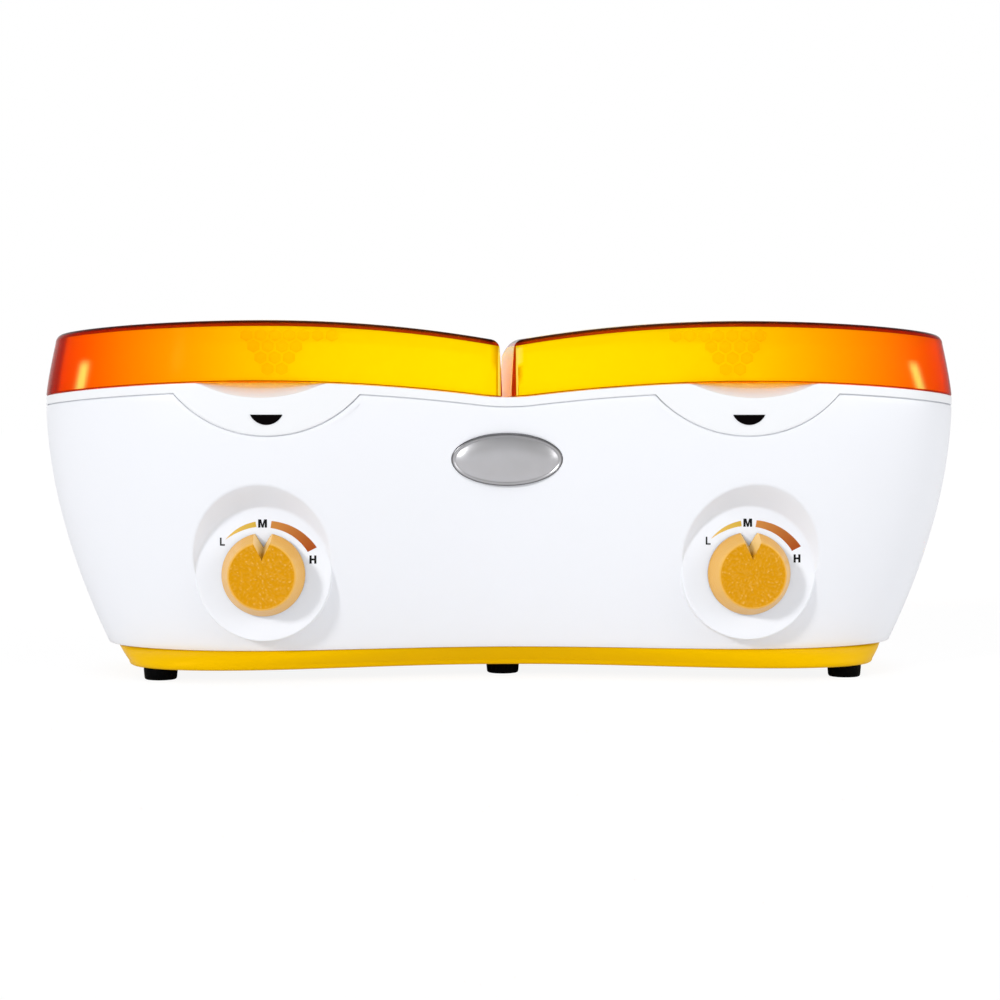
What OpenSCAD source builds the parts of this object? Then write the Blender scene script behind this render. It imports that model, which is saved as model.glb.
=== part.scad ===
// Double wax warmer: one moulded housing holds two heated wells side by side,
// each with a see-through hinged lid, a dial on a round pod and a pilot light.
// X runs left to right, Y front to back and Z up, with the origin on the table
// under the middle. All sizes are millimetres.

/* [Housing plan] */
// Width over both ends of the housing
overall_w = 410; // [390:1:430]
// Depth of the front half of the plan, before the waist is drawn in
plan_front = 104.3; // [100:0.1:112]
// Depth of the rear half of the plan, before the waist is drawn in
plan_rear = 97.6; // [94:0.1:110]
// Squareness of the plan: 2 is an ellipse, more is squarer
plan_power = 2.6; // [2.4:0.05:3]
// How far the waist between the wells is drawn in
waist_in = 29.7; // [20:0.1:32]
// Distance from the middle at which the waist dies out
waist_reach = 150.7; // [135:0.1:165]
// Thickness of the moulded walls
wall = 2.5; // [2:0.1:3]

/* [Housing heights] */
// Height of the rubber feet
foot_h = 5.2; // [4:0.1:8]
// Height of the base tray
base_h = 8.5; // [7.5:0.1:12]
// Height of the seam under the deck, over the middle of a well
seam_z = 124.9; // [120:0.1:132]
// Height at which the housing starts to taper in towards its base
flare_top_z = 120; // [112:0.5:124]
// How far the housing has tapered in at its bottom edge
flare_in = 26.8; // [20:0.1:30]
// Bend of the taper: 1 is a straight side
flare_power = 1.815; // [1.5:0.005:2.2]

/* [Wells] */
// Distance of each well from the middle
well_x = 102; // [98:0.5:106]
// Inner radius of a well pot
pot_r = 49; // [44:0.5:51]
// Inner depth of a well pot
pot_depth = 88; // [80:0.5:90]
// Thickness of the pot sheet
pot_t = 1.2; // [1:0.1:1.5]
// Width of the pot flange beyond the pot
flange_w = 5.8; // [4:0.1:6.5]
// Thickness of the pot flange
flange_t = 1.5; // [1:0.1:2]
// Thickness of the seal under the flange
seal_t = 0.8; // [0.5:0.1:1.2]

/* [Deck] */
// Height of the deck rim that shows between the seam and the lids
deck_h = 4.0; // [3.4:0.1:6]
// Radius of the deck's arch from the crest towards the middle
crest_r_in = 760; // [650:5:900]
// Radius of the deck's arch from the crest towards the end
crest_r_out = 1050; // [850:5:1300]
// Radius of the valley between the two arches
valley_r = 100; // [60:1:140]
// Height of the flat land that carries the pot, below the crest
land_drop = 2.9; // [2.7:0.1:3.4]
// Distance of each tongue, with its pilot light and finger scoop, from the middle
tongue_x = 101.2; // [98:0.1:105]
// Radius of the round tongue at the front of each arch
tongue_r = 51.5; // [46:0.1:56]
// Depth of the tongue below the seam
tongue_drop = 18.5; // [14:0.1:20]
// Width of the finger scoop under a lid
scoop_w = 63; // [50:1:74]
// Depth of the finger scoop at its front
scoop_drop = 6.7; // [5.8:0.1:7]
// Length of the finger scoop from front to back
scoop_l = 10; // [8:0.5:12]
// Width of the open line where two mouldings meet
seam_gap = 0.4; // [0.2:0.05:0.6]

/* [Lids] */
// Height of the top of the lids above the table
crest_z = 157.6; // [152:0.1:165]
// Gap between the two lids
lid_split = 4; // [3:0.5:8]
// Gap between a lid's rim and the deck
lid_seat_gap = 0.3; // [0.2:0.05:0.5]
// Thickness of the lid wall
lid_t = 2.2; // [1.8:0.1:2.8]
// Radius of the lid's arch from the crest towards the middle
lid_r_in = 566; // [520:2:800]
// Radius of the lid's arch from the crest towards the end
lid_r_out = 750; // [600:5:1200]
// Radius of the lid's crown from front to back
lid_crown_r = 1300; // [900:10:2000]
// Radius of the lid's upper edge
lid_edge_r = 3.5; // [2.8:0.1:5]
// Lean of the lid's wall at the front and rear
lid_lean = 3.5; // [2:0.1:5]
// Lean of the lid's wall at its outer end
lid_lean_end = 4.2; // [3:0.1:6]
// Lean of the lid's wall at the split between the lids
lid_lean_split = 1; // [0.5:0.1:2.5]

/* [Lid hinges] */
// Distance of each hinge from the middle
hinge_x = 112; // [104:0.5:122]
// Height of the hinge axis above the lid's rim
hinge_rise = 3.9; // [3.7:0.1:5]
// Distance of the hinge axis behind the lid's rim
hinge_out = 2.6; // [2.4:0.1:3]
// Radius of the barrel on the lid
barrel_r = 3.6; // [3.2:0.1:3.8]
// Length of the barrel on the lid
barrel_l = 28; // [18:1:36]
// Radius of the ears on the deck
ear_r = 2.6; // [2.3:0.1:2.7]
// Thickness of an ear
ear_t = 6; // [4:0.5:9]
// Radius of the hinge pin
pin_r = 1.4; // [1.2:0.1:1.5]
// Running clearance of the lid on its pin
pin_clear = 0.06; // [0.04:0.01:0.1]
// Side play of the barrel between the ears
barrel_play = 0.3; // [0.2:0.05:0.6]

/* [Dial pods] */
// Distance of each dial from the middle
pod_x = 103.6; // [100:0.1:107]
// Height of the dial axis above the table
pod_z = 47.5; // [46:0.5:52]
// Radius of the flat pod floor
pod_r = 28.7; // [27:0.1:30]
// Distance below the axis at which the floor is flush with the housing
pod_flush_drop = 7; // [4:0.5:10]
// Widening of the recess for each millimetre outwards
pod_slope = 0.76; // [0.6:0.01:0.9]
// Depth of the wall behind the pod floor
pod_cup_d = 12; // [11:0.5:13]

/* [Knobs] */
// Radius of the knob at its base
knob_r = 17.7; // [16:0.1:20]
// Radius of the knob's face
knob_face_r = 14.3; // [13:0.1:15.5]
// Height of the knob
knob_h = 12.5; // [11:0.5:14]
// Gap between the knob and the pod floor
knob_gap = 0.6; // [0.4:0.1:1]
// Radius at which the pointer notch ends on the face
notch_face_r = 6.6; // [6:0.1:9]
// Radius at which the pointer notch ends at the base
notch_base_r = 11.7; // [11:0.1:13]
// Width of the pointer notch at the rim
notch_w = 7.6; // [5:0.1:9]
// Radius of the dial shaft
shaft_r = 3; // [2.5:0.1:3.2]
// Running clearance of the shaft in its bush
shaft_clear = 0.06; // [0.04:0.01:0.1]
// Radius of the threaded bush
bush_r = 4.7; // [4.4:0.1:5.2]
// Width across the flats of the bush nut
nut_af = 14; // [13:0.5:15]
// Thickness of the bush nut
nut_t = 2.5; // [2:0.1:3]

/* [Thermostats and heaters] */
// Radius of a thermostat body
stat_r = 16; // [13:0.5:18]
// Depth of a thermostat body
stat_d = 10; // [8:0.5:11]
// Height of the heater band's lower edge
band_z = 52; // [48:1:58]
// Width of the heater band
band_h = 36; // [28:1:42]
// Thickness of the heater band
band_t = 2.4; // [1.6:0.1:2.8]
// Thickness of the insulation wrap
wrap_t = 3.8; // [2.5:0.1:4]
// How far the wrap reaches past the band, above and below
wrap_over = 5; // [3:0.5:6]
// Width of the open seam at the rear of the band and the wrap
band_seam_w = 18; // [16:1:24]
// Clearance between the parts round the pot
nest_clear = 0.2; // [0.1:0.05:0.4]

/* [Pilot lights and badge] */
// Width of a pilot lens
lens_w = 13.5; // [11:0.1:15]
// Height of a pilot lens
lens_h = 4.3; // [3.5:0.1:5.2]
// Height of the lens's flat top edge, below the seam
lens_drop = 9.6; // [8.8:0.1:11]
// Depth of a pilot lens
lens_d = 3.4; // [3:0.1:4]
// Radius of a neon lamp
lamp_r = 2.6; // [2:0.1:3]
// Length of a neon lamp
lamp_l = 16; // [14:0.5:22]
// Width of the oval badge
badge_w = 47.5; // [36:0.5:54]
// Height of the oval badge
badge_h = 22.5; // [18:0.5:28]
// Height of the badge's centre above the table
badge_z = 96.4; // [88:0.1:102]
// Thickness of the badge's rim
badge_t = 2.4; // [1.8:0.1:3]

/* [Base, feet and cord inlet] */
// Step of the tray's upper edge inside the housing, at the front and rear
tray_step = 1.3; // [0.8:0.1:3]
// Step of the tray's upper edge inside the housing, at the ends
tray_end_step = 4.1; // [2:0.1:5]
// How far the tray tapers in by its bottom edge, at the front and rear
tray_taper = 4.7; // [3:0.1:8]
// How far the tray tapers in by its bottom edge, at the ends
tray_end_taper = 6.9; // [4:0.1:8]
// Squareness of the tray's upper edge
tray_power = 2.75; // [2.4:0.05:3]
// Squareness of the tray's bottom edge
tray_low_power = 4.5; // [3.6:0.05:5]
// Extra thickness of the housing's wall where it sits on the tray
seat_lip = 3; // [2:0.1:4]
// Size of the bevel round the tray's bottom edge
tray_bevel = 1.5; // [1:0.1:2]
// Radius of a foot
foot_r = 7.4; // [6:0.1:8]
// Distance of the end feet from the housing's ends
foot_end_inset = 54.5; // [53:0.5:65]
// Distance of the front end feet from the line through the wells
foot_front_y = 47; // [36:0.5:47]
// Distance of the rear end feet from the line through the wells
foot_rear_y = 32; // [26:0.5:34]
// Distance of the middle feet from the line through the wells
foot_mid_y = 26; // [20:0.5:28]
// Radius of the cord hole through the gland
cord_r = 3.75; // [3:0.05:4.5]
// Height of the cord gland above the table
gland_z = 30; // [26:0.5:36]
// Radius of the gland's flange
gland_r = 9; // [8:0.5:10]

/* [Screws] */
// Radius of a screw's shank
screw_r = 1.5; // [1.2:0.1:1.8]
// Radius of a screw's head
screw_head_r = 3; // [2.6:0.1:3.4]
// Height of a screw's head
screw_head_h = 2; // [1.6:0.1:2.4]
// Radius of the bosses that the screws bite into
boss_r = 4.5; // [3.8:0.1:5.2]

/* [Hidden] */

$fn = 64;
eps = 0.02;
far = 400;

// Plan outline: a superellipse with a waist, walked in equal angle steps
plan_steps = 84;
plan_angles = [for (i = [0 : plan_steps - 1]) 360 * i / plan_steps];
function dip(x) = abs(x) < waist_reach ? waist_in * (1 + cos(180 * x / waist_reach)) / 2 : 0;
function plan_half(t) = sin(t) < 0 ? plan_front : plan_rear;
function plan_point(t, end_inset, side_inset, power) =
    let (span = pow(pow(abs(cos(t)), power) + pow(abs(sin(t)), power), -1 / power),
         x = (overall_w / 2 - end_inset) * cos(t) * span,
         y = (plan_half(t) - side_inset) * sin(t) * span)
    [x, y - sign(sin(t)) * dip(x)];
function plan_xy(t, inset) = plan_point(t, inset, inset, plan_power);
// Distance of the outline from the X axis at x, on the half of depth half
function plan_reach(x, inset, half) =
    (half - inset) * pow(1 - pow(abs(x) / (overall_w / 2 - inset), plan_power), 1 / plan_power)
    - dip(x);

// Heights
base_top_z = foot_h + base_h;
function flare(z) = z >= flare_top_z ? 0
    : flare_in * pow((flare_top_z - z) / (flare_top_z - base_top_z), flare_power);
function arch_drop(d, r) = r - sqrt(r * r - d * d);
valley_reach = well_x * valley_r / (crest_r_in + valley_r);
valley_centre_z = seam_z - crest_r_in + sqrt(pow(crest_r_in + valley_r, 2) - well_x * well_x);
function seam(x) =
    abs(x) > well_x ? seam_z - arch_drop(abs(x) - well_x, crest_r_out)
    : abs(x) > valley_reach ? seam_z - arch_drop(well_x - abs(x), crest_r_in)
    : valley_centre_z - sqrt(valley_r * valley_r - x * x);
deck_z = seam_z + deck_h;
land_z = deck_z - land_drop;
flange_z = land_z + seal_t;
pot_floor_z = flange_z + flange_t - pot_depth;
pot_bottom_z = pot_floor_z - pot_t;

// Closed surfaces from rings of points. Rings run anticlockwise seen from above.
function ring_faces(k, n, next) =
    [for (i = [0 : n - 1]) each
        [[k * n + i, next * n + i, next * n + (i + 1) % n],
         [k * n + i, next * n + (i + 1) % n, k * n + (i + 1) % n]]];
function mean(points) =
    [for (axis = [0 : 2]) [for (p = points) p[axis]] * [for (p = points) 1] / len(points)];

// Skin of rings with a fan of triangles over the first and the last ring
module capped_skin(rings) {
    n = len(rings[0]);
    count = len(rings);
    points = concat([for (r = rings) each r], [mean(rings[0]), mean(rings[count - 1])]);
    first = count * n;
    polyhedron(points, concat(
        [for (k = [0 : count - 2]) each ring_faces(k, n, k + 1)],
        [for (i = [0 : n - 1]) [i, (i + 1) % n, first]],
        [for (i = [0 : n - 1])
            [(count - 1) * n + (i + 1) % n, (count - 1) * n + i, first + 1]]));
}

// Skin of rings whose last ring joins the first, as a wall open above and below
module looped_skin(rings) {
    n = len(rings[0]);
    count = len(rings);
    polyhedron([for (r = rings) each r],
        [for (k = [0 : count - 1]) each ring_faces(k, n, (k + 1) % count)]);
}

// Slab between two rings, capped by strips from front to back so that it can
// follow a height that changes with x alone
module slab_skin(low, high) {
    n = len(low);
    polyhedron(concat(low, high), concat(
        ring_faces(0, n, 1),
        [for (i = [1 : n / 2 - 2]) [n + i, n + n - i, n + n - i - 1, n + i + 1]],
        [for (i = [1 : n / 2 - 2]) [i + 1, n - i - 1, n - i, i]],
        [[n, n + n - 1, n + 1], [n + n / 2 - 1, n + n / 2 + 1, n + n / 2]],
        [[1, n - 1, 0], [n / 2, n / 2 + 1, n / 2 - 1]]));
}

function level_ring(z, inset) =
    [for (t = plan_angles) let (p = plan_xy(t, inset)) [p[0], p[1], z]];
function seam_ring(lift, inset) =
    [for (t = plan_angles) let (p = plan_xy(t, inset)) [p[0], p[1], seam(p[0]) + lift]];

// The leaning housing wall up to a line that runs along the seam
wall_levels = [for (s = [0, 0.12, 0.27, 0.46, 0.68, 0.88])
    base_top_z + s * (seam_z - seam_gap - base_top_z)];
module leaning_wall(lift) {
    looped_skin(concat(
        [for (z = wall_levels) level_ring(z, flare(z))],
        [seam_ring(lift, 0)],
        [seam_ring(lift, wall)],
        [for (i = [len(wall_levels) - 1 : -1 : 1])
            level_ring(wall_levels[i], flare(wall_levels[i]) + wall)],
        [level_ring(base_top_z, flare_in + wall + seat_lip)]));
}

// All the space inside the housing's outer surface
module housing_space() {
    capped_skin([for (z = wall_levels) level_ring(z, flare(z))]);
}

module both_sides(x = well_x) {
    for (side = [-1, 1]) translate([side * x, 0, 0]) children();
}

// Dial frame: origin on the pod floor, local Z outwards and local Y up
pod_floor_y = -plan_reach(pod_x, flare(pod_z - pod_flush_drop), plan_front);
module at_dial(side) {
    translate([side * pod_x, pod_floor_y, pod_z]) rotate([90, 0, 0]) children();
}
bush_clear = 0.2;
pod_reach = 25;
module pod_recess(extra) {
    cylinder(h = pod_reach, r1 = pod_r + extra, r2 = pod_r + extra + pod_slope * pod_reach);
}

// Front tongue of the deck, and its scoop
tongue_z = seam_z - tongue_drop + tongue_r;
front_y = -plan_reach(tongue_x, 0, plan_front);
tongue_back_y = front_y + 3 * wall;
module tongue_cylinder(r) {
    both_sides(tongue_x)
        translate([0, tongue_back_y, tongue_z]) rotate([90, 0, 0]) cylinder(h = far / 2, r = r);
}
scoop_top_z = deck_z + lid_seat_gap;
scoop_front_r = (pow(scoop_w / 2, 2) + pow(scoop_drop, 2)) / (2 * scoop_drop);
scoop_rear_r = scoop_front_r - scoop_drop;
scoop_ahead = (pow(scoop_front_r, 2) - pow(scoop_rear_r, 2) - pow(scoop_l, 2)) / (2 * scoop_l);
scoop_r = sqrt(pow(scoop_front_r, 2) + pow(scoop_ahead, 2));
module scoop_ball(extra) {
    both_sides(tongue_x)
        translate([0, front_y - scoop_ahead, scoop_top_z - scoop_drop + scoop_front_r])
            sphere(r = scoop_r + extra, $fn = 96);
}

// Screw posts: [x, y] of the base screws, and of the deck screws on the right half
base_post_end_inset = 20;
base_post_inset = 12;
base_post_x = overall_w / 2 - flare_in - base_post_end_inset;
base_post_mid_x = 60;
base_post_front_y = -plan_reach(base_post_mid_x, flare_in, plan_front) + base_post_inset;
base_post_rear_y = plan_reach(base_post_mid_x, flare_in, plan_rear) - base_post_inset;
base_posts = [[base_post_x, 0], [base_post_mid_x, base_post_front_y],
              [base_post_mid_x, base_post_rear_y]];
base_boss_h = 20;
deck_tab_z = 100;
deck_tab_t = 4;
deck_post_end_inset = 19;
deck_post_inset = 11;
deck_post_x = overall_w / 2 - deck_post_end_inset;
deck_post_mid_x = 30;
deck_screw_bite = 12;
deck_posts = [[deck_post_x, 0],
              [deck_post_mid_x, -plan_reach(deck_post_mid_x, 0, plan_front) + deck_post_inset],
              [deck_post_mid_x, plan_reach(deck_post_mid_x, 0, plan_rear) - deck_post_inset]];
pilot_clear = 0.03;
hole_clear = 0.3;
rib_t = 2.4;
wall_rib_l = 30;
module mirrored_x() {
    children();
    mirror([1, 0, 0]) children();
}
// Bar from a post to the wall that it stands beside
module wall_rib(post, z, height, width) {
    out = post[1] == 0 ? [1, 0] : [0, sign(post[1])];
    translate([post[0] + out[0] * wall_rib_l / 2, post[1] + out[1] * wall_rib_l / 2, z + height / 2])
        cube([out[0] == 0 ? width : wall_rib_l, out[1] == 0 ? width : wall_rib_l, height],
            center = true);
}

// Badge frame: centre of the badge's seat, tilted with the housing's front
badge_lean = atan((flare(badge_z - badge_h / 2) - flare(badge_z + badge_h / 2)) / badge_h);
badge_end_y = plan_reach(badge_w / 2, flare(badge_z), plan_front);
badge_sink = 0.8;
badge_seat_y = -plan_reach(0, flare(badge_z), plan_front) + badge_sink;
badge_rise = badge_end_y + badge_seat_y;
badge_clear = 0.15;
module at_badge() {
    translate([0, badge_seat_y, badge_z]) rotate([90 + badge_lean, 0, 0]) children();
}
module oval(w, h, depth) {
    linear_extrude(depth) scale([1, h / w]) circle(d = w, $fn = 48);
}

// Rear cord gland
gland_y = plan_reach(0, flare(gland_z), plan_rear);
gland_boss_out = 3.5;
gland_neck_r = cord_r + 2;
gland_flange_t = 2.5;
module at_gland() {
    translate([0, gland_y + gland_boss_out, gland_z]) rotate([-90, 0, 0]) children();
}

module housing_shell() {
    difference() {
        leaning_wall(-seam_gap);
        tongue_cylinder(tongue_r + seam_gap);
        for (side = [-1, 1]) at_dial(side)
            translate([0, 0, -far / 8]) cylinder(h = far / 8 - wall / 2, r = pod_r - wall);
    }
}
module pod_cup() {
    translate([0, 0, -wall]) cylinder(h = wall, r = pod_r);
    difference() {
        translate([0, 0, -pod_cup_d]) cylinder(h = pod_cup_d, r = pod_r);
        translate([0, 0, -pod_cup_d - 1]) cylinder(h = pod_cup_d + 1, r = pod_r - wall);
    }
}
module base_boss_rib(post) {
    wall_rib(post, base_top_z, base_boss_h * 0.6, rib_t);
}
module deck_tab(post) {
    translate([post[0], post[1], deck_tab_z]) cylinder(h = deck_tab_t, r = 2 * boss_r);
    wall_rib(post, deck_tab_z, deck_tab_t, 4 * boss_r);
}
// What grows out of the wall and stops at the housing's outer surface
module wall_growths() {
    intersection() {
        housing_space();
        union() {
            for (side = [-1, 1]) at_dial(side) translate([0, 0, -wall]) pod_recess(wall);
            mirrored_x() {
                for (post = base_posts) base_boss_rib(post);
                for (post = deck_posts) deck_tab(post);
            }
            at_badge() translate([0, 0, -wall])
                oval(badge_w + 2 * wall, badge_h + 2 * wall, wall + badge_rise + wall);
        }
    }
}
module gland_boss() {
    difference() {
        at_gland() translate([0, 0, -3 * wall - gland_boss_out])
            cylinder(h = 3 * wall + gland_boss_out, r = gland_r);
        translate([0, 0, gland_z]) cube([far, 2 * gland_y - 8 * wall, far / 8], center = true);
    }
}
module housing() {
    color("white") difference() {
        union() {
            housing_shell();
            for (side = [-1, 1]) at_dial(side) pod_cup();
            mirrored_x() for (post = base_posts)
                translate([post[0], post[1], base_top_z]) cylinder(h = base_boss_h, r = boss_r);
            wall_growths();
            gland_boss();
        }
        for (side = [-1, 1]) at_dial(side) {
            pod_recess(0);
            translate([0, 0, -2 * wall]) cylinder(h = 3 * wall, r = bush_r + bush_clear);
        }
        at_badge() oval(badge_w + 2 * badge_clear, badge_h + 2 * badge_clear, 4 * wall);
        at_gland() translate([0, 0, -far / 16])
            cylinder(h = far / 8, r = gland_neck_r + nest_clear);
        mirrored_x() {
            for (post = base_posts) translate([post[0], post[1], base_top_z - 1])
                cylinder(h = base_boss_h - 1, r = screw_r + pilot_clear);
            for (post = deck_posts) translate([post[0], post[1], deck_tab_z - 1])
                cylinder(h = deck_tab_t + 2, r = screw_r + hole_clear);
        }
    }
}

// Deck: a plate that follows the arches, with lands, tongues, scoops and hinge ears
hinge_y = plan_reach(hinge_x, 0, plan_rear) + hinge_out;
hinge_z = seam(hinge_x) + deck_h + lid_seat_gap + hinge_rise;
land_clear = 1;
land_r = pot_r + pot_t + flange_w + land_clear;
land_ring_w = 3;
land_under_h = wall + 1;
pot_hole_clear = 0.5;
pot_hole_r = pot_r + pot_t + pot_hole_clear;
lamp_z = seam_z - lens_drop - lens_h / 2;
lens_tilt = atan((plan_reach(tongue_x + lens_w / 2, 0, plan_front)
    - plan_reach(tongue_x - lens_w / 2, 0, plan_front)) / lens_w);
lens_proud = 0.3;
lamp_gap = 0.8;
lens_front_y = -plan_reach(tongue_x, flare(lamp_z), plan_front) - lens_proud;
lamp_y = lens_front_y + lens_d + lamp_gap + lamp_r;
module at_lens(side) {
    translate([side * tongue_x, lens_front_y, seam_z - lens_drop])
        rotate([0, 0, -side * lens_tilt]) rotate([-90, 0, 0]) children();
}
lens_arc_r = (pow(lens_w / 2, 2) + pow(lens_h, 2)) / (2 * lens_h);
module lens_shape(extra, depth) {
    linear_extrude(depth) intersection() {
        translate([0, lens_h - lens_arc_r]) circle(r = lens_arc_r + extra);
        translate([-lens_w, -extra]) square([2 * lens_w, 2 * lens_h]);
    }
}
// Two ribs hold the ends of the lamp
lamp_rib_t = 1.6;
lamp_rib_inset = 1.5;
lamp_rib_edge = 2;
module lamp_rib(x) {
    difference() {
        translate([x, front_y + wall / 2, lamp_z - lamp_r - lamp_rib_edge])
            cube([lamp_rib_t, lamp_y + lamp_r + lamp_rib_edge / 2 - front_y - wall / 2,
                  seam_z - lamp_z + lamp_r + lamp_rib_edge]);
        translate([x - lamp_rib_t / 2, lamp_y, lamp_z]) rotate([0, 90, 0])
            cylinder(h = 2 * lamp_rib_t, r = lamp_r + nest_clear);
    }
}
// Side view of an ear: a neck behind the lid's wall, rooted in the deck plate
ear_neck = ear_r * 0.7;
ear_sink = 0.8;
ear_root = -hinge_rise - lid_seat_gap - ear_sink;
ear_low = -hinge_rise - lid_seat_gap - deck_h + 1;
module hinge_ears() {
    for (side = [-1, 1]) translate([hinge_x, hinge_y, hinge_z])
        for (end = [0, 1]) mirror([end, 0, 0])
            translate([barrel_l / 2 + barrel_play, 0, 0]) rotate([90, 0, 90]) {
                cylinder(h = ear_t, r = ear_r);
                linear_extrude(ear_t)
                    polygon([[-ear_neck, -ear_neck], [ear_r, 0], [ear_r, ear_low],
                             [-hinge_out - wall, ear_low], [-hinge_out - wall, ear_root],
                             [-ear_neck, ear_root]]);
            }
}
module deck_posts_down() {
    for (post = deck_posts)
        translate([post[0], post[1], deck_tab_z + deck_tab_t])
            cylinder(h = seam(post[0]) + 1 - deck_tab_z - deck_tab_t, r = boss_r);
}
module top_deck() {
    color("white") difference() {
        union() {
            slab_skin(seam_ring(0, 0), seam_ring(deck_h, 0));
            intersection() {
                leaning_wall(1);
                tongue_cylinder(tongue_r);
            }
            intersection() {
                housing_space_to_deck();
                scoop_ball(wall);
                translate([0, -far / 2 - far / 8, 0]) cube([far * 2, far, far * 2], center = true);
            }
            both_sides() translate([0, 0, land_z - land_under_h])
                cylinder(h = land_under_h, r = land_r + land_ring_w);
            mirrored_x() {
                deck_posts_down();
                hinge_ears();
                for (x = [-lamp_l / 2 + lamp_rib_inset, lamp_l / 2 - lamp_rib_inset - lamp_rib_t])
                    translate([tongue_x, 0, 0]) lamp_rib(x);
            }
        }
        scoop_ball(0);
        both_sides() {
            translate([0, 0, land_z]) cylinder(h = far / 8, r = land_r);
            translate([0, 0, land_z - far / 8]) cylinder(h = far / 4, r = pot_hole_r);
        }
        for (side = [-1, 1]) at_lens(side) translate([0, 0, -1])
            lens_shape(nest_clear / 2, lens_d + 2);
        mirrored_x() {
            for (post = deck_posts) translate([post[0], post[1], deck_tab_z])
                cylinder(h = deck_tab_t + deck_screw_bite + 2, r = screw_r + pilot_clear);
            translate([hinge_x, hinge_y, hinge_z]) rotate([0, 90, 0])
                cylinder(h = barrel_l * 3, r = pin_r + eps / 2, center = true);
        }
    }
}
// The deck's plan below its top face, down to the lowest point of the tongue
module housing_space_to_deck() {
    capped_skin([for (z = [seam_z - tongue_drop, deck_z - deck_h / 2]) level_ring(z, hole_clear)]);
}

// Base tray with bevelled edge, screw wells, vents and foot holes
tray_floor_t = 2.5;
standoff_r = 5;
standoff_boss_w = 2;
standoff_seat_z = foot_h + tray_floor_t + standoff_boss_w;
vent_w = 3;
vent_l = 40;
vent_pitch = 9;
stem_r = 3;
foot_x = overall_w / 2 - foot_end_inset;
foot_spots = [
    [-foot_x, -foot_front_y], [0, -foot_mid_y], [foot_x, -foot_front_y],
    [-foot_x, foot_rear_y], [0, foot_mid_y], [foot_x, foot_rear_y]];
// Ring of the tray's outline: fall runs from 0 at its upper edge to 1 at its bottom
function tray_ring(z, fall, inset) =
    [for (t = plan_angles)
        let (p = plan_point(t,
            flare_in + tray_end_step + fall * tray_end_taper + inset,
            flare_in + tray_step + fall * tray_taper + inset,
            tray_power + fall * (tray_low_power - tray_power)))
        [p[0], p[1], z]];
module base_tray() {
    color("gold") difference() {
        union() {
            capped_skin([
                tray_ring(foot_h, 1, tray_bevel),
                tray_ring(foot_h + tray_bevel, 1, 0),
                tray_ring(base_top_z, 0, 0),
                tray_ring(base_top_z, 0, wall),
                tray_ring(foot_h + tray_floor_t, 1, wall)]);
            mirrored_x() for (post = base_posts)
                translate([post[0], post[1], foot_h + 1])
                    cylinder(h = base_h - 1, r = boss_r);
            both_sides() translate([0, 0, foot_h + 1])
                cylinder(h = standoff_seat_z - foot_h - 1, r = standoff_r + standoff_boss_w);
        }
        mirrored_x() for (post = base_posts) translate([post[0], post[1], 0]) {
            cylinder(h = foot_h + tray_floor_t + screw_head_h / 2, r = screw_head_r + hole_clear);
            cylinder(h = base_top_z + 1, r = screw_r + hole_clear);
        }
        both_sides() {
            cylinder(h = foot_h + tray_floor_t / 2, r = screw_head_r + hole_clear);
            cylinder(h = base_top_z, r = screw_r + hole_clear);
            for (i = [-3, -2, 2, 3]) translate([i * vent_pitch, 0, foot_h])
                cube([vent_w, vent_l, far / 16], center = true);
        }
        for (spot = foot_spots) translate([spot[0], spot[1], 0])
            cylinder(h = base_top_z, r = stem_r + nest_clear / 2);
    }
}

foot_pad_r = foot_r - 0.4;
stem_head_r = stem_r + 1;
stem_head_h = 1.5;
module foot(spot) {
    color("dimgray") translate([spot[0], spot[1], 0]) {
        cylinder(h = foot_h, r1 = foot_pad_r, r2 = foot_r);
        cylinder(h = foot_h + tray_floor_t + eps, r = stem_r);
        translate([0, 0, foot_h + tray_floor_t]) cylinder(h = stem_head_h, r1 = stem_head_r, r2 = stem_r);
    }
}

// Lids. The outline of the right lid, anticlockwise seen from above.
lid_steps = 44;
lid_edge_t = acos((lid_split / 2 + lid_edge_r) / (overall_w / 2));
lid_split_y = plan_reach(lid_split / 2, 0, plan_front) - lid_edge_r;
lid_split_rear_y = plan_reach(lid_split / 2, 0, plan_rear) - lid_edge_r;
split_steps = 8;
lid_outline = concat(
    [for (i = [0 : lid_steps]) plan_xy(-lid_edge_t + 2 * lid_edge_t * i / lid_steps, 0)],
    [for (i = [0 : split_steps])
        [lid_split / 2,
         lid_split_rear_y - (lid_split_rear_y + lid_split_y) * i / split_steps]]);
lid_count = len(lid_outline);
function unit(v) = v / norm(v);
lid_normals = [for (i = [0 : lid_count - 1])
    let (v = unit(lid_outline[(i + 1) % lid_count]
                  - lid_outline[(i + lid_count - 1) % lid_count]))
    [v[1], -v[0]]];
function roof(x, y) =
    crest_z - arch_drop(abs(abs(x) - well_x), abs(x) > well_x ? lid_r_out : lid_r_in)
    - arch_drop(abs(y), lid_crown_r);
function lid_rim_z(x) = seam(x) + deck_h + lid_seat_gap;
function lid_spot(i, inset) = lid_outline[i] - lid_normals[i] * inset;
function lean(i) =
    let (out = lid_normals[i][0], side_lean = out > 0 ? lid_lean_end : lid_lean_split)
    lid_lean + (side_lean - lid_lean) * abs(out);
function lid_rim(inset) =
    [for (i = [0 : lid_count - 1])
        let (p = lid_spot(i, inset)) [p[0], p[1], lid_rim_z(lid_outline[i][0])]];
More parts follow.
